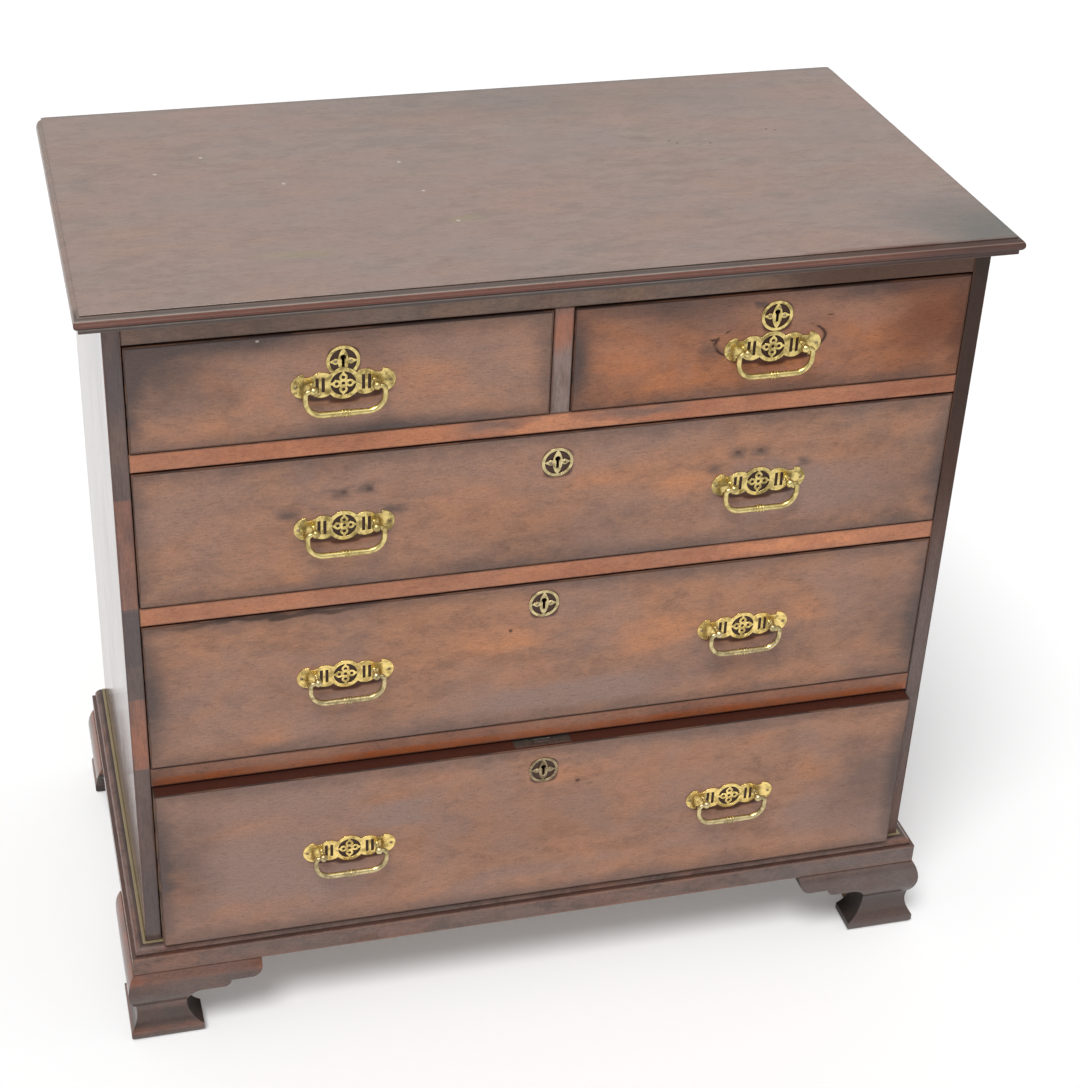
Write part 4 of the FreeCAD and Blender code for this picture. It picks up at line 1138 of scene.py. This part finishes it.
OLIVE_BRASS, GOLDEN_BRASS, YELLOW_BRASS, DULL_BRASS, BROWN_BRASS = (
    MetalFinish(name, Slot.BRASS, bright, tarnish, share, roughness, bump)
    for name, bright, tarnish, share, roughness, bump in (
        ("olive_brass", (0.78, 0.61, 0.24), (0.15, 0.105, 0.032), 0.8, 0.22, 0.3),
        ("golden_brass", (0.95, 0.72, 0.27), (0.24, 0.155, 0.05), 0.7, 0.2, 0.28),
        ("yellow_brass", (0.75, 0.61, 0.26), (0.25, 0.18, 0.065), 0.65, 0.24, 0.1),
        ("dull_brass", (0.68, 0.56, 0.3), (0.17, 0.125, 0.065), 0.7, 0.24, 0.15),
        ("brown_brass", (0.4, 0.31, 0.19), (0.13, 0.095, 0.055), 0.75, 0.3, 0.35)))
STEEL = MetalFinish("lock_steel", Slot.STEEL, (0.22, 0.2, 0.18), (0.1, 0.075, 0.055), 0.8, 0.42, 0.35)

LEFT_STILE = (on_stile(Tint.WARM, (133, 66, 0.8, 0.97), (-93, 47, 0.85, 0.97), crisp=True)
              + on_stile(Tint.DUSK, (30, 36, 0.5, 0.9), crisp=True)
              + on_stile(Tint.DUSK, (330, 60, 0.7, 0.2), (-330, 90, 0.6, 0.2)))
# The right stile darker and redder towards the top: painted shade under the top's overhang.
RIGHT_STILE = (on_stile(Tint.DEEP_RED_AND_SHADE, (250, 260, 0.95, 0.4)) + on_stile(Tint.GRIME_AND_SHADE, (340, 220, 0.5, 0.5))
               + on_stile(Tint.BLOOM, (-190, 220, 0.45, 0.2)))

FRONT_1_LEFT = replace(DRAWER_WOOD, patches=(
    on_front(Tint.WARM, (-150, -38, 60, 20, 0.8), (-79, -13, 45, 24, 0.9), (89, -5, 70, 28, 0.9),
             (179, 9, 26, 22, 0.8), (120, -34, 90, 18, 0.6, 0.0))
    + on_front(Tint.DUSK, (-205, 36, 150, 80, 0.85, 0.0), (-235, 0, 50, 80, 0.8, 0.0),
               (-100, 52, 110, 34, 0.6, 0.0), (60, -58, 160, 18, 0.5, 0.0), (20, 30, 60, 40, 0.4, 0.0))
    # The dark band along the top edge is painted shadow in the gap under the rail.
    + band(Tint.GRIME_AND_SHADE, (57.2, 2.0, 0.9)) + on_front(Tint.PALE_FLECK_AND_HIGHLIGHT, (-84, 53, 2, 1.2, 1.0, 0.6), crisp=True)))
FRONT_1_RIGHT = replace(
    DRAWER_WOOD, ground=(0.34, 0.135, 0.064), dark=(0.25, 0.102, 0.054), warm=(0.45, 0.155, 0.055),
    deep_red_and_shade=(0.16, 0.05, 0.02), specular=0.2, bloom_share=0.5,
    ghost=((-0.003, -0.01, 0.003), (0.06, 0.4, 0.022)),
    patches=(
        on_front(Tint.WARM, (110, -2, 40, 26, 0.6, 0.0), (33, -20, 30, 14, 0.8), (-165, 0, 50, 30, 0.8),
                 (-103, -38, 60, 18, 0.7))
        + on_front(Tint.DUSK, (150, -54, 70, 18, 0.25, 0.0), (145, 50, 100, 20, 0.65, 0.0),
                   (-90, 40, 110, 34, 0.45, 0.0), (-20, 43, 14, 6, 0.7), (-64, -2, 16, 18, 0.45, 0.0),
                   (-210, 0, 40, 80, 0.5, 0.0))
        # Painted shade: the right end darker and redder.
        + on_front(Tint.DEEP_RED_AND_SHADE, (180, 10, 85, 80, 0.9, 0.0))
        + on_front(Tint.SHADE, (215, -6, 22, 70, 0.55, 0.0))
        + on_front(Tint.GRIME_AND_SHADE, (-56, 8, 6, 3, 0.9, 0.2), (62, 26, 8, 1.4, 0.8, 0.2))
        # The dark band along the top edge is painted shadow in the gap under the rail.
        + band(Tint.GRIME_AND_SHADE, (57.4, 1.8, 0.8))))
FILLED_HOLES = ((-224, 35), (-198, 36), (199, 34), (224, 34))
OLD_STAINS = ((-172, 9), (-277, 12), (177, 14), (273, 16))
FRONT_2 = replace(DRAWER_WOOD, patches=(
    on_front(Tint.GRIME_AND_SHADE, *((x, z, 5.5, 4, 0.6, 0.0) for x, z in FILLED_HOLES), crisp=True)
    + on_front(Tint.DUSK, *((x, z, 17, 11, 0.75, 0.0) for x, z in OLD_STAINS + FILLED_HOLES),
               (0, -50, 200, 50, 0.28, 0.0), (410, -10, 130, 120, 0.34, 0.0))
    + on_front(Tint.WARM, (-219, 25, 26, 10, 0.7), (-296, -65, 60, 10, 0.7), (-92, 26, 60, 18, 0.7),
               (55, 28, 90, 26, 0.9), (148, 3, 50, 20, 0.8), (394, 42, 30, 16, 0.5))
    + on_front(Tint.BLOOM, (300, -20, 140, 50, 0.7))))
FRONT_3 = replace(DRAWER_WOOD, patches=(
    on_front(Tint.WARM, (-329, -70, 60, 14, 0.6), (-54, 24, 70, 24, 0.7), (132, 8, 70, 30, 0.8),
             (293, 13, 60, 20, 0.6), (65, 37, 50, 18, 0.6))
    + on_front(Tint.DUSK, (425, -10, 90, 130, 0.45, 0.0), (-430, 0, 40, 110, 0.5, 0.0),
               (230, -40, 160, 40, 0.35, 0.0))
    + on_front(Tint.GRIME_AND_SHADE, (-43, 34, 3, 3, 0.8, 0.3), crisp=True)
    # The dark strip along the top left is painted shadow in the gap above.
    + on_front(Tint.GRIME_AND_SHADE, (-300, 88, 170, 5, 0.8, 0.2)) + on_front(Tint.BLOOM, (30, -60, 140, 26, 0.7))))
FRONT_4 = replace(DRAWER_WOOD, ground=(0.32, 0.165, 0.105), bloom_share=0.8, patches=(
    on_front(Tint.BLOOM, (-180, 41, 60, 26, 0.8), (-300, -20, 120, 60, 0.5))
    + on_front(Tint.DUSK, (410, -10, 110, 110, 0.55, 0.0), (-420, 0, 70, 120, 0.6, 0.0),
               (0, 0, 200, 60, 0.2, 0.0))
    + on_front(Tint.WARM, (-330, -50, 60, 30, 0.6, 0.0), (-325, 47, 50, 20, 0.5), (-62, -88, 120, 14, 0.7),
               (21, 65, 60, 20, 0.6), (57, 69, 50, 18, 0.5), (340, 20, 60, 24, 0.5))
    + on_front(Tint.GRIME_AND_SHADE, (39, 53, 4, 3, 0.8, 0.3), crisp=True)))


# ---- Sub-assemblies ------------------------------------------------------------------------------------
@dataclass
class Case:
    """The top, the sides, the rails, the post and the back."""

    inner: tuple[str, ...] = ("bottom_board", "rail_rear_top", "centre_guide", "drawer_runners",
                              "drawer_stops")
    nail_radius: float = 2.2 * MM
    nail_inset: float = 14 * MM
    nails_across: int = 3
    nail_sides: int = 12

    def build(self) -> None:
        """Dress the case."""
        board("top_board", TOP_WOOD, CARVED)
        board("side_left", replace(CASE_WOOD, name="left_side", patches=LEFT_STILE, roughness=0.12,
                                   bloom_share=0.35, specular=0.5, bump=0.04), ARRIS)
        board("side_right", replace(CASE_WOOD, name="right_side", patches=RIGHT_STILE,
                                    deep_red_and_shade=(0.06, 0.027, 0.018), roughness=0.2, specular=0.2), ARRIS)
        board("centre_post", replace(
            CASE_WOOD, name="post", bloom_share=0.3, ground=(0.25, 0.185, 0.165), dark=(0.16, 0.11, 0.09),
            patches=on_front(Tint.WARM, (0, 38, 40, 36, 0.9))), ARRIS)
        board("rail_top", replace(
            RAIL_WOOD, name="rail_top_wood", dark=(0.14, 0.088, 0.062), ground=(0.225, 0.137, 0.094),
            warm=(0.34, 0.15, 0.08), bloom=(0.17, 0.135, 0.125), deep_red_and_shade=(0.1, 0.042, 0.021), warm_share=0.4,
            # The band along the top is painted shadow under the top's moulding.
            patches=on_front(Tint.DEEP_RED_AND_SHADE, (370, 0, 190, 40, 1.0, 0.4)) + band(Tint.GRIME_AND_SHADE, (11.7, 2.4, 0.6))
            + on_front(Tint.DUSK, (-330, 0, 150, 30, 0.5, 0.0))), ARRIS)
        board("rail_upper", replace(
            RAIL_WOOD, name="rail_upper_wood", patches=on_front(Tint.GRIME_AND_SHADE, (-48, -11, 7, 3, 0.7))
            + on_front(Tint.WARM, (-4, 2, 17, 14, 1.0, 0.75), (-5, -3, 36, 8, 1.0, 0.75),
                       (3, -7, 66, 4.5, 1.0, 0.75), crisp=True)
            + on_front(Tint.BLOOM, (-78, 4, 50, 12, 0.9, 0.1), (90, 4, 66, 12, 0.9, 0.1))
            + on_front(Tint.DUSK, (84, 5, 60, 11, 0.45, 0.2), (-70, 6, 50, 8, 0.45, 0.2))
            + on_front(Tint.DEEP_RED_AND_SHADE, (410, 0, 120, 20, 0.45, 0.0))), ARRIS)
        board("rail_middle", replace(RAIL_WOOD, name="rail_middle_wood",
                                     patches=on_front(Tint.WARM, (283, 2, 120, 14, 0.9))), ARRIS)
        board("rail_lower", replace(
            RAIL_WOOD, name="rail_lower_wood", dark=(0.16, 0.075, 0.048), ground=(0.23, 0.1, 0.06),
            warm=(0.28, 0.07, 0.018), patches=band(Tint.WARM, (-6, 7.5, 1.0))
            # Painted shade along the bottom edge, over the open bottom drawer, and at the left end.
            + band(Tint.SHADE, (-12, 2.4, 1.0)) + on_front(Tint.GRIME_AND_SHADE, (-455, 0, 50, 20, 0.6, 0.0))), ARRIS)
        pine = PINE_WOOD.material()
        for node in self.inner + ("back_boards",):
            board(node, PINE_WOOD, ROUGH_SAWN, pine)
        self.nail_back()

    def nail_back(self) -> None:
        """Nail each back board at its top and its foot."""
        places = []
        for solid in split_solids("back_boards"):
            low, high = extent(solid)
            solid.free()
            step = (high.x - low.x - 2 * self.nail_inset) / (self.nails_across - 1)
            for index in range(self.nails_across):
                x = low.x + self.nail_inset + index * step
                places += [Vector((x, high.y, low.z + self.nail_inset)),
                           Vector((x, high.y, high.z - self.nail_inset))]
        radius = self.nail_radius
        head = lathe("nail_head", [(-radius, radius / 2), (-radius / 4, radius), (0.0, radius * 0.9),
                                   (radius * 0.12, radius * 0.5)], self.nail_sides)
        steel = STEEL.material()
        put("back_nails", repeated(head, places, steel), body_of("back_boards"), STEEL.slot, steel)


@dataclass
class Base:
    """The base frame, its moulding and the feet."""

    ends: tuple[str, ...] = ("front", "rear")

    def build(self) -> None:
        """Dress the base."""
        board("base_frame", replace(
            BASE_WOOD, name="frame_wood", ground=(0.17, 0.1, 0.08), warm=(0.27, 0.115, 0.065),
            fleck_share=0.12, patches=band(Tint.WARM, (10.2, 1.8, 0.9), (-11.6, 2.2, 0.9))
            # The dark line along the top edge is painted shade under the moulding.
            + band(Tint.SHADE, (12.4, 1.0, 0.6)) + on_front(Tint.WARM, (-430, 0, 120, 20, 0.6, 0.0))
            + on_front(Tint.BLOOM, (400, 0, 200, 20, 0.5, 0.0))), CARVED)
        board("base_moulding", replace(
            BASE_WOOD, name="moulding_wood", ground=(0.2, 0.12, 0.098),
            # The pale line along the upper fillet is partly painted highlight, and the dark lines beside and
            # below it are painted shade in the profile.
            patches=band(Tint.WAX_AND_HIGHLIGHT, (4.5, 0.5, 0.6)) + band(Tint.GRIME_AND_SHADE, (3.4, 0.5, 0.6), (-4.0, 0.7, 0.9))
            + band(Tint.WARM, (0.5, 2.2, 0.5))), CARVED)
        self.shoe("left", replace(
            BASE_WOOD, name="foot_wood", warm=(0.26, 0.085, 0.042), fleck_share=0.12,
            patches=band(Tint.WARM, (41, 8, 0.8), (-34, 5, 0.5))
            # The lower dusk bands are painted shade in the cove and along the floor.
            + band(Tint.DUSK, (-20, 16, 0.6), (10, 9, 0.2), (-45, 3, 0.7))))
        self.shoe("right", replace(
            BASE_WOOD, name="dark_foot_wood", ground=(0.085, 0.055, 0.05), warm=(0.15, 0.08, 0.06),
            warm_share=0.3, bloom_share=0.8, fleck_share=0.12,
            # The dusk band darkens the cove and the lower part, partly painted shade.
            patches=band(Tint.WARM, (44.5, 2, 0.9)) + band(Tint.DUSK, (-10, 26, 0.5))))
        board("foot_blocks", PINE_WOOD, ROUGH_SAWN)

    def shoe(self, side: str, finish: WoodFinish) -> None:
        """Dress the feet of one side.

        Args:
            side: The side, as the nodes name it.
            finish: The wood's finish.
        """
        material = finish.material()
        for end in self.ends:
            board(f"foot_{end}_{side}", finish, WORN_FOOT, material, sawn=True)


@dataclass
class Brasswork:
    """One drawer's brass: backplates, escutcheon, pins, posts with their nuts, and bails."""

    drawer: str
    plate: MetalFinish
    key_plate: MetalFinish
    grip: MetalFinish
    pin_radius: float = 1.9 * MM
    pin_height: float = 0.9 * MM
    ball_radius: float = 4.6 * MM
    stem_radius: float = 2.0 * MM
    collar_radius: float = 3.4 * MM
    collar_from_ball: float = 9.5 * MM
    plate_from_ball: float = 11.3 * MM
    bail_pin_reach: float = 33.2 * MM
    bail_pin_radius: float = 2.0 * MM
    arm_reach: float = 40.0 * MM
    arm_radius: float = 2.75 * MM
    grip_radius: float = 3.3 * MM
    drop: float = 27.4 * MM
    corner: float = 17.0 * MM
    elbow: float = 4.6 * MM
    lean: float = 0.6 * MM
    ring_pitch: float = 3.2 * MM
    ring_thickness: float = 1.0 * MM
    rings: int = 3
    bail_sides: int = 20
    post_sides: int = 28
    pin_sides: int = 14

    @property
    def bails(self) -> list[str]:
        """Return the names of this drawer's bails, left to right."""
        return [name for name in (self.drawer + end for end in ("_bail", "_bail_left", "_bail_right"))
                if name in frame["nodes"]]

    def build(self) -> None:
        """Make and dress the brass."""
        self.dress_plates()
        self.turn_posts()
        for bail in self.bails:
            self.bend_bail(bail)

    def is_key_plate(self, low: Vector, high: Vector) -> bool:
        """Tell a key plate's box from a pin's, which is narrower, and from a backplate's, which is wider."""
        return 3 * self.pin_radius < high.x - low.x < self.arm_reach

    def dress_plates(self) -> None:
        """Ease the pierced plates and drive new round-headed pins through them."""
        node = self.drawer + "_plates"
        backplates, key_plates, pins = [], [], []
        for solid in split_solids(node):
            low, high = extent(solid)
            if high.x - low.x < 3 * self.pin_radius:
                pins.append(Vector(((low.x + high.x) / 2, low.y + self.pin_height, (low.z + high.z) / 2)))
                solid.free()
                continue
            (key_plates if self.is_key_plate(low, high) else backplates).append(eased(solid, CUT_BRASS))
        body = body_of(node)
        for end, solids, finish in (("_backplates", backplates, self.plate),
                                    ("_key_plate", key_plates, self.key_plate)):
            put(self.drawer + end, joined(solids, node), body, Slot.BRASS, finish.material(), node)
        radius, height = self.pin_radius, self.pin_height
        dome = [(height * (1 - math.sin(angle)) - height, radius * math.cos(angle))
                for angle in (1.45, 1.1, 0.75, 0.4, 0.0)]
        head = lathe("pin_head", dome + [(height / 3, radius * 0.8)], self.pin_sides)
        brown = BROWN_BRASS.material()
        put(self.drawer + "_pins", repeated(head, pins, brown), body, Slot.BRASS, brown, node)

    def turn_posts(self) -> None:
        """Turn the ball-headed posts, and ease the nuts behind them."""
        node = self.drawer + "_posts"
        places, nuts, length = [], [], 0.0
        for solid in split_solids(node):
            low, high = extent(solid)
            if high.y - low.y < 4 * self.ball_radius:
                nuts.append(eased(solid, FILED))
                continue
            places.append(Vector(((low.x + high.x) / 2, low.y + self.ball_radius, (low.z + high.z) / 2)))
            length = high.y - low.y - self.ball_radius
            solid.free()
        finish = self.grip.material()
        turned = repeated(lathe("post", self.post_profile(length), self.post_sides), places, finish)
        whole = bmesh.new()
        whole.from_mesh(turned)
        put(self.drawer + "_posts_finished", joined(nuts + [whole], node), body_of(node), Slot.BRASS, finish,
            node)

    def post_profile(self, length: float) -> list[tuple[float, float]]:
        """Return a post's profile, with the middle of its ball at zero.

        Args:
            length: From the ball's middle to the post's far end.

        Returns:
            Place and radius of each ring.
        """
        radius, stem, collar = self.ball_radius, self.stem_radius, self.collar_radius
        ball = [(-radius * math.cos(angle), radius * math.sin(angle))
                for angle in (0.08 + 0.2 * step for step in range(13))]
        neck = [(radius + 0.4 * MM, stem), (radius + 0.8 * MM, stem + 0.6 * MM),
                (radius + 1.5 * MM, stem + 0.6 * MM), (radius + 1.9 * MM, stem)]
        first, last = self.collar_from_ball, self.plate_from_ball
        foot = [(first - 0.4 * MM, stem), (first, collar - 0.4 * MM), (first + 0.5 * MM, collar),
                (last - 0.2 * MM, collar), (last, stem + 0.1 * MM)]
        tip = [(length - 0.6 * MM, stem + 0.1 * MM), (length, stem - 0.5 * MM)]
        return ball + neck + foot + tip

    def bend_bail(self, bail: str) -> None:
        """Sweep one bail and set it on its hinge.

        Args:
            bail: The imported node, named as its body is.
        """
        hinge = next(joint for joint in frame["joints"] if joint["child"] == bail)
        line = self.bail_line()
        seed_mesh = bpy.data.meshes.new("bail_line")
        seed_mesh.from_pydata([place for place, _ in line], [(i, i + 1) for i in range(len(line) - 1)], [])
        layer = seed_mesh.attributes.new(THICKNESS_ATTRIBUTE, "FLOAT", "POINT")
        for item, (_, radius) in zip(layer.data, line):
            item.value = radius
        finish = self.grip.material()
        mesh = grow(TREES.bail, seed_mesh, {
            "Ring Radius": self.grip_radius, "Ring Thickness": self.ring_thickness,
            "Ring Pitch": self.ring_pitch, "Ring Count": self.rings, "Sides": self.bail_sides,
            "Grip Drop": self.drop, "Grip Lean": self.lean, "Finish": finish})
        mesh.transform(Matrix.Translation(Vector(hinge["pos_m"])))
        put(bail + "_finished", mesh, bail, Slot.BRASS, finish, bail)

    def bail_line(self) -> list[tuple[Vector, float]]:
        """Draw the bail's line about its hinge, from one pin round to the other.

        Returns:
            Place and radius of each point.
        """
        half = [(Vector((self.bail_pin_reach, 0, 0)), self.bail_pin_radius),
                (Vector((self.arm_reach - self.elbow, 0, 0)), self.bail_pin_radius)]
        for angle in (0.4, 0.8, 1.2, math.pi / 2):
            half.append((Vector((self.arm_reach - self.elbow * (1 - math.sin(angle)), 0,
                                 -self.elbow * (1 - math.cos(angle)))), self.arm_radius))
        swell = self.grip_radius - self.arm_radius
        steps = 10
        for step in range(steps + 1):
            angle = math.pi / 2 * step / steps
            place = Vector((self.arm_reach - self.corner * (1 - math.cos(angle)), 0,
                            -self.drop + self.corner * (1 - math.sin(angle))))
            half.append((place, self.arm_radius + swell * (0.25 + 0.55 * step / steps)))
        for share in (0.66, 0.33):
            half.append((Vector(((self.arm_reach - self.corner) * share, 0, -self.drop)),
                         self.arm_radius + swell * (1 - 0.2 * share)))
        middle = [(Vector((0, 0, -self.drop)), self.grip_radius)]
        for place, _ in half + middle:
            place.y = -self.lean * place.z / self.drop
        other = [(Vector((-place.x, place.y, place.z)), radius) for place, radius in reversed(half)]
        return half + middle + other


@dataclass
class Lock:
    """One drawer's lock and its bolt."""

    drawer: str
    screw_radius: float = 2.6 * MM
    screw_inset: float = 5.0 * MM
    selvedge: float = 5.0 * MM
    slot: float = 0.7 * MM
    slot_depth: float = 0.5 * MM
    screw_height: float = 0.6 * MM
    sides: int = 14

    def build(self) -> None:
        """Dress the lock and the bolt, and screw the lock down."""
        steel = STEEL.material()
        node = self.drawer + "_lock"
        for name in (node, self.drawer + "_bolt"):
            solids = [eased(solid, FILED) for solid in split_solids(name)]
            put(name + "_finished", joined(solids, name), body_of(name), Slot.STEEL, steel, name)
        low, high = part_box(node)
        inset = self.selvedge + self.screw_inset
        places = [Vector((x, high.y, z)) for x in (low.x + inset, high.x - inset)
                  for z in (low.z + self.screw_inset, high.z - 2 * self.screw_inset)]
        screws = repeated(self.slotted_head(), places, steel)
        put(self.drawer + "_lock_screws", screws, body_of(node), Slot.STEEL, steel)

    def slotted_head(self) -> Mesh:
        """Make a countersunk screw head with its slot, about the origin and facing +Y.

        Returns:
            The closed mesh.
        """
        depth, height, sides = self.slot_depth, self.screw_height, self.sides
        head = bmesh.new()
        for side in (-1, 1):
            edge = math.acos(self.slot / 2 / self.screw_radius)
            angles = [-edge + 2 * edge * index / (sides // 2) for index in range(sides // 2 + 1)]
            rim = [(side * self.screw_radius * math.cos(angle), self.screw_radius * math.sin(angle))
                   for angle in angles]
            lower = [head.verts.new((x, height - depth, z)) for x, z in rim]
            upper = [head.verts.new((x, height, z)) for x, z in rim]
            head.faces.new(upper)
            head.faces.new(lower[::-1])
            for index in range(len(rim)):
                after = (index + 1) % len(rim)
                head.faces.new((lower[index], lower[after], upper[after], upper[index]))
        bmesh.ops.recalc_face_normals(head, faces=head.faces)
        ends = [(-0.2 * MM, self.screw_radius), (height - depth, self.screw_radius)]
        head.from_mesh(lathe("screw_base", ends, sides))
        return plain(head, "screw_head")


@dataclass
class Drawer:
    """One drawer with its front, box, lock and brass."""

    name: str
    brass: Brasswork
    finish: WoodFinish
    # The next three are in millimetres, as all marks are. The edge shade is painted shade along the top edge,
    # and the plate shade is painted shadow below each plate.
    edge_shade: float = 2.2
    plate_dirt: tuple[Row, ...] = ((0, 0, 39, 9, 0.7, 0.93), (0, 0, 15, 15, 0.7, 0.93))
    plate_shade: tuple[Row, ...] = ((1, -6, 51, 14, 0.92, 0.8), (1, -5, 21, 19, 0.92, 0.8))

    def build(self) -> None:
        """Dress the drawer."""
        front = self.name + "_front"
        low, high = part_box(front)
        # Painted shade along the front's top edge, under the rail above.
        top_edge = band(Tint.SHADE, ((high.z - low.z) / 2 / MM, self.edge_shade, 1.0))
        patches = self.finish.patches + self.marks_under_brass(front) + top_edge
        board(front, replace(self.finish, name=self.name + "_wood", patches=patches), ARRIS)
        board(self.name + "_box", OAK_WOOD, ROUGH_SAWN)
        Lock(self.name).build()
        self.brass.build()

    def marks_under_brass(self, front: str) -> Marks:
        """Return the marks of the wood behind the pierced plates, and their painted shadow.

        Args:
            front: The drawer's front.

        Returns:
            Dark dirt in the openings, and painted shadow in dark red along each plate's lower edge.
        """
        low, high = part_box(front)
        middle = (low + high) / 2
        marks: Marks = ()
        for joint in frame["joints"]:
            if joint["child"] in self.brass.bails:
                x, _, z = (Vector(joint["pos_m"]) - middle) / MM
                # Dirt in the openings, and painted shadow below each plate.
                for tint, rows in ((Tint.GRIME_AND_SHADE, self.plate_dirt), (Tint.SHADE, self.plate_shade)):
                    marks += on_front(tint, *((x + across, z + up, *rest) for across, up, *rest in rows),
                                      crisp=True)
        for solid in split_solids(self.name + "_plates"):
            low, high = extent(solid)
            solid.free()
            if self.brass.is_key_plate(low, high):
                x, _, z = ((low + high) / 2 - middle) / MM
                half_x, _, half_z = (high - low) / 2 / MM - Vector((1, 1, 1))
                marks += on_front(Tint.GRIME_AND_SHADE, (x, z, half_x, half_z, 0.6, 0.9), crisp=True)
                # Painted shadow below the key plate.
                marks += on_front(Tint.SHADE, (x + 1, z - 2.5, half_x + 2, half_z + 2, 0.85, 0.8), crisp=True)
        return marks


def drawers() -> list[Drawer]:
    """Return the five drawers with their brass and their finishes."""
    rows = (("drawer_1_left", OLIVE_BRASS, OLIVE_BRASS, YELLOW_BRASS, FRONT_1_LEFT),
            ("drawer_1_right", OLIVE_BRASS, OLIVE_BRASS, YELLOW_BRASS, FRONT_1_RIGHT),
            ("drawer_2", OLIVE_BRASS, DULL_BRASS, YELLOW_BRASS, FRONT_2),
            ("drawer_3", GOLDEN_BRASS, DULL_BRASS, DULL_BRASS, FRONT_3),
            ("drawer_4", GOLDEN_BRASS, BROWN_BRASS, DULL_BRASS, FRONT_4))
    return [Drawer(name, Brasswork(name, plate, key_plate, grip), finish)
            for name, plate, key_plate, grip, finish in rows]


# ---- Studio --------------------------------------------------------------------------------------------
@dataclass
class Studio:
    """A plain pale floor, soft lamps and the camera."""

    camera_place: Colour = (-0.56307, -2.05218, 1.79554)
    camera_turn: Colour = (58.63575, -1.0626, -13.23122)
    lens: float = 69.954
    shift: tuple[float, float] = (0.08364, -0.02988)
    floor_half: float = 14.0
    floor_colour: Colour = (0.97, 0.97, 0.97)
    floor_glow: float = 0.15
    sun_from: Colour = (-0.9, -1.3, 2.9)
    sun_spread: float = math.radians(25)
    sun_strength: float = 2.12
    ambient: float = 0.51
    backdrop: float = 1.0
    room: float = 0.45
    room_edges: tuple[float, float] = (0.1, 0.9)

    def build(self) -> None:
        """Set up the studio."""
        self.lay_floor()
        self.hang_sun()
        self.fill_world()
        self.place_camera()
        bpy.context.scene.view_settings.view_transform = "Standard"

    def lay_floor(self) -> None:
        """Lay the floor."""
        reach = self.floor_half
        mesh = bpy.data.meshes.new("floor")
        mesh.from_pydata([(-reach, -reach, 0), (reach, -reach, 0), (reach, reach, 0), (-reach, reach, 0)], [],
                         [(0, 1, 2, 3)])
        floor = add_object("floor", mesh)
        material = bpy.data.materials.new("pale_floor")
        material.use_nodes = True
        material.node_tree.nodes.clear()
        graph = Graph(material.node_tree)
        lit = graph.out("ShaderNodeBsdfDiffuse", {"Color": self.floor_colour})
        white = graph.out("ShaderNodeEmission", {"Color": WHITE, "Strength": 1.0})
        ray = graph.add("ShaderNodeLightPath").outputs
        seen = graph.math("MAXIMUM", ray["Is Camera Ray"], graph.mirrored(ray))
        both = graph.out("ShaderNodeMixShader", {0: graph.times(seen, self.floor_glow), 1: lit, 2: white})
        graph.add("ShaderNodeOutputMaterial", {"Surface": both})
        mesh.materials.append(material)

    def hang_sun(self) -> None:
        """Hang the broad soft lamp, far off to the front and the left."""
        lamp = bpy.data.lights.new("key", "SUN")
        lamp.energy = self.sun_strength
        lamp.angle = self.sun_spread
        holder = add_object("key", lamp)
        holder.rotation_euler = (-Vector(self.sun_from)).to_track_quat("-Z", "Y").to_euler()

    def fill_world(self) -> None:
        """Fill the world with soft light, and show it as a pale backdrop."""
        world = bpy.data.worlds.new("studio")
        bpy.context.scene.world = world
        world.use_nodes = True
        world.node_tree.nodes.clear()
        graph = Graph(world.node_tree)
        height = graph.parts(graph.add("ShaderNodeTexCoord").outputs["Generated"])[2]
        glow = graph.smooth(height, *self.room_edges, self.room, self.backdrop)
        soft, gloss, seen = (graph.out("ShaderNodeBackground", {"Color": WHITE, "Strength": strength})
                             for strength in (self.ambient, glow, self.backdrop))
        ray = graph.add("ShaderNodeLightPath").outputs
        unseen = graph.out("ShaderNodeMixShader", {0: graph.mirrored(ray), 1: soft, 2: gloss})
        both = graph.out("ShaderNodeMixShader", {0: ray["Is Camera Ray"], 1: unseen, 2: seen})
        graph.add("ShaderNodeOutputWorld", {"Surface": both})

    def place_camera(self) -> None:
        """Place the camera."""
        camera = bpy.data.cameras.new("camera")
        camera.lens = self.lens
        camera.shift_x, camera.shift_y = self.shift
        holder = add_object("camera", camera)
        holder.location = self.camera_place
        holder.rotation_euler = Euler([math.radians(angle) for angle in self.camera_turn])
        bpy.context.scene.camera = holder


def main() -> None:
    """Dress the chest and set up the studio."""
    logging.basicConfig(level=logging.INFO, format="%(name)s: %(message)s")
    Studio().build()
    Case().build()
    Base().build()
    for drawer in drawers():
        drawer.build()


if __name__ == "__main__":
    main()
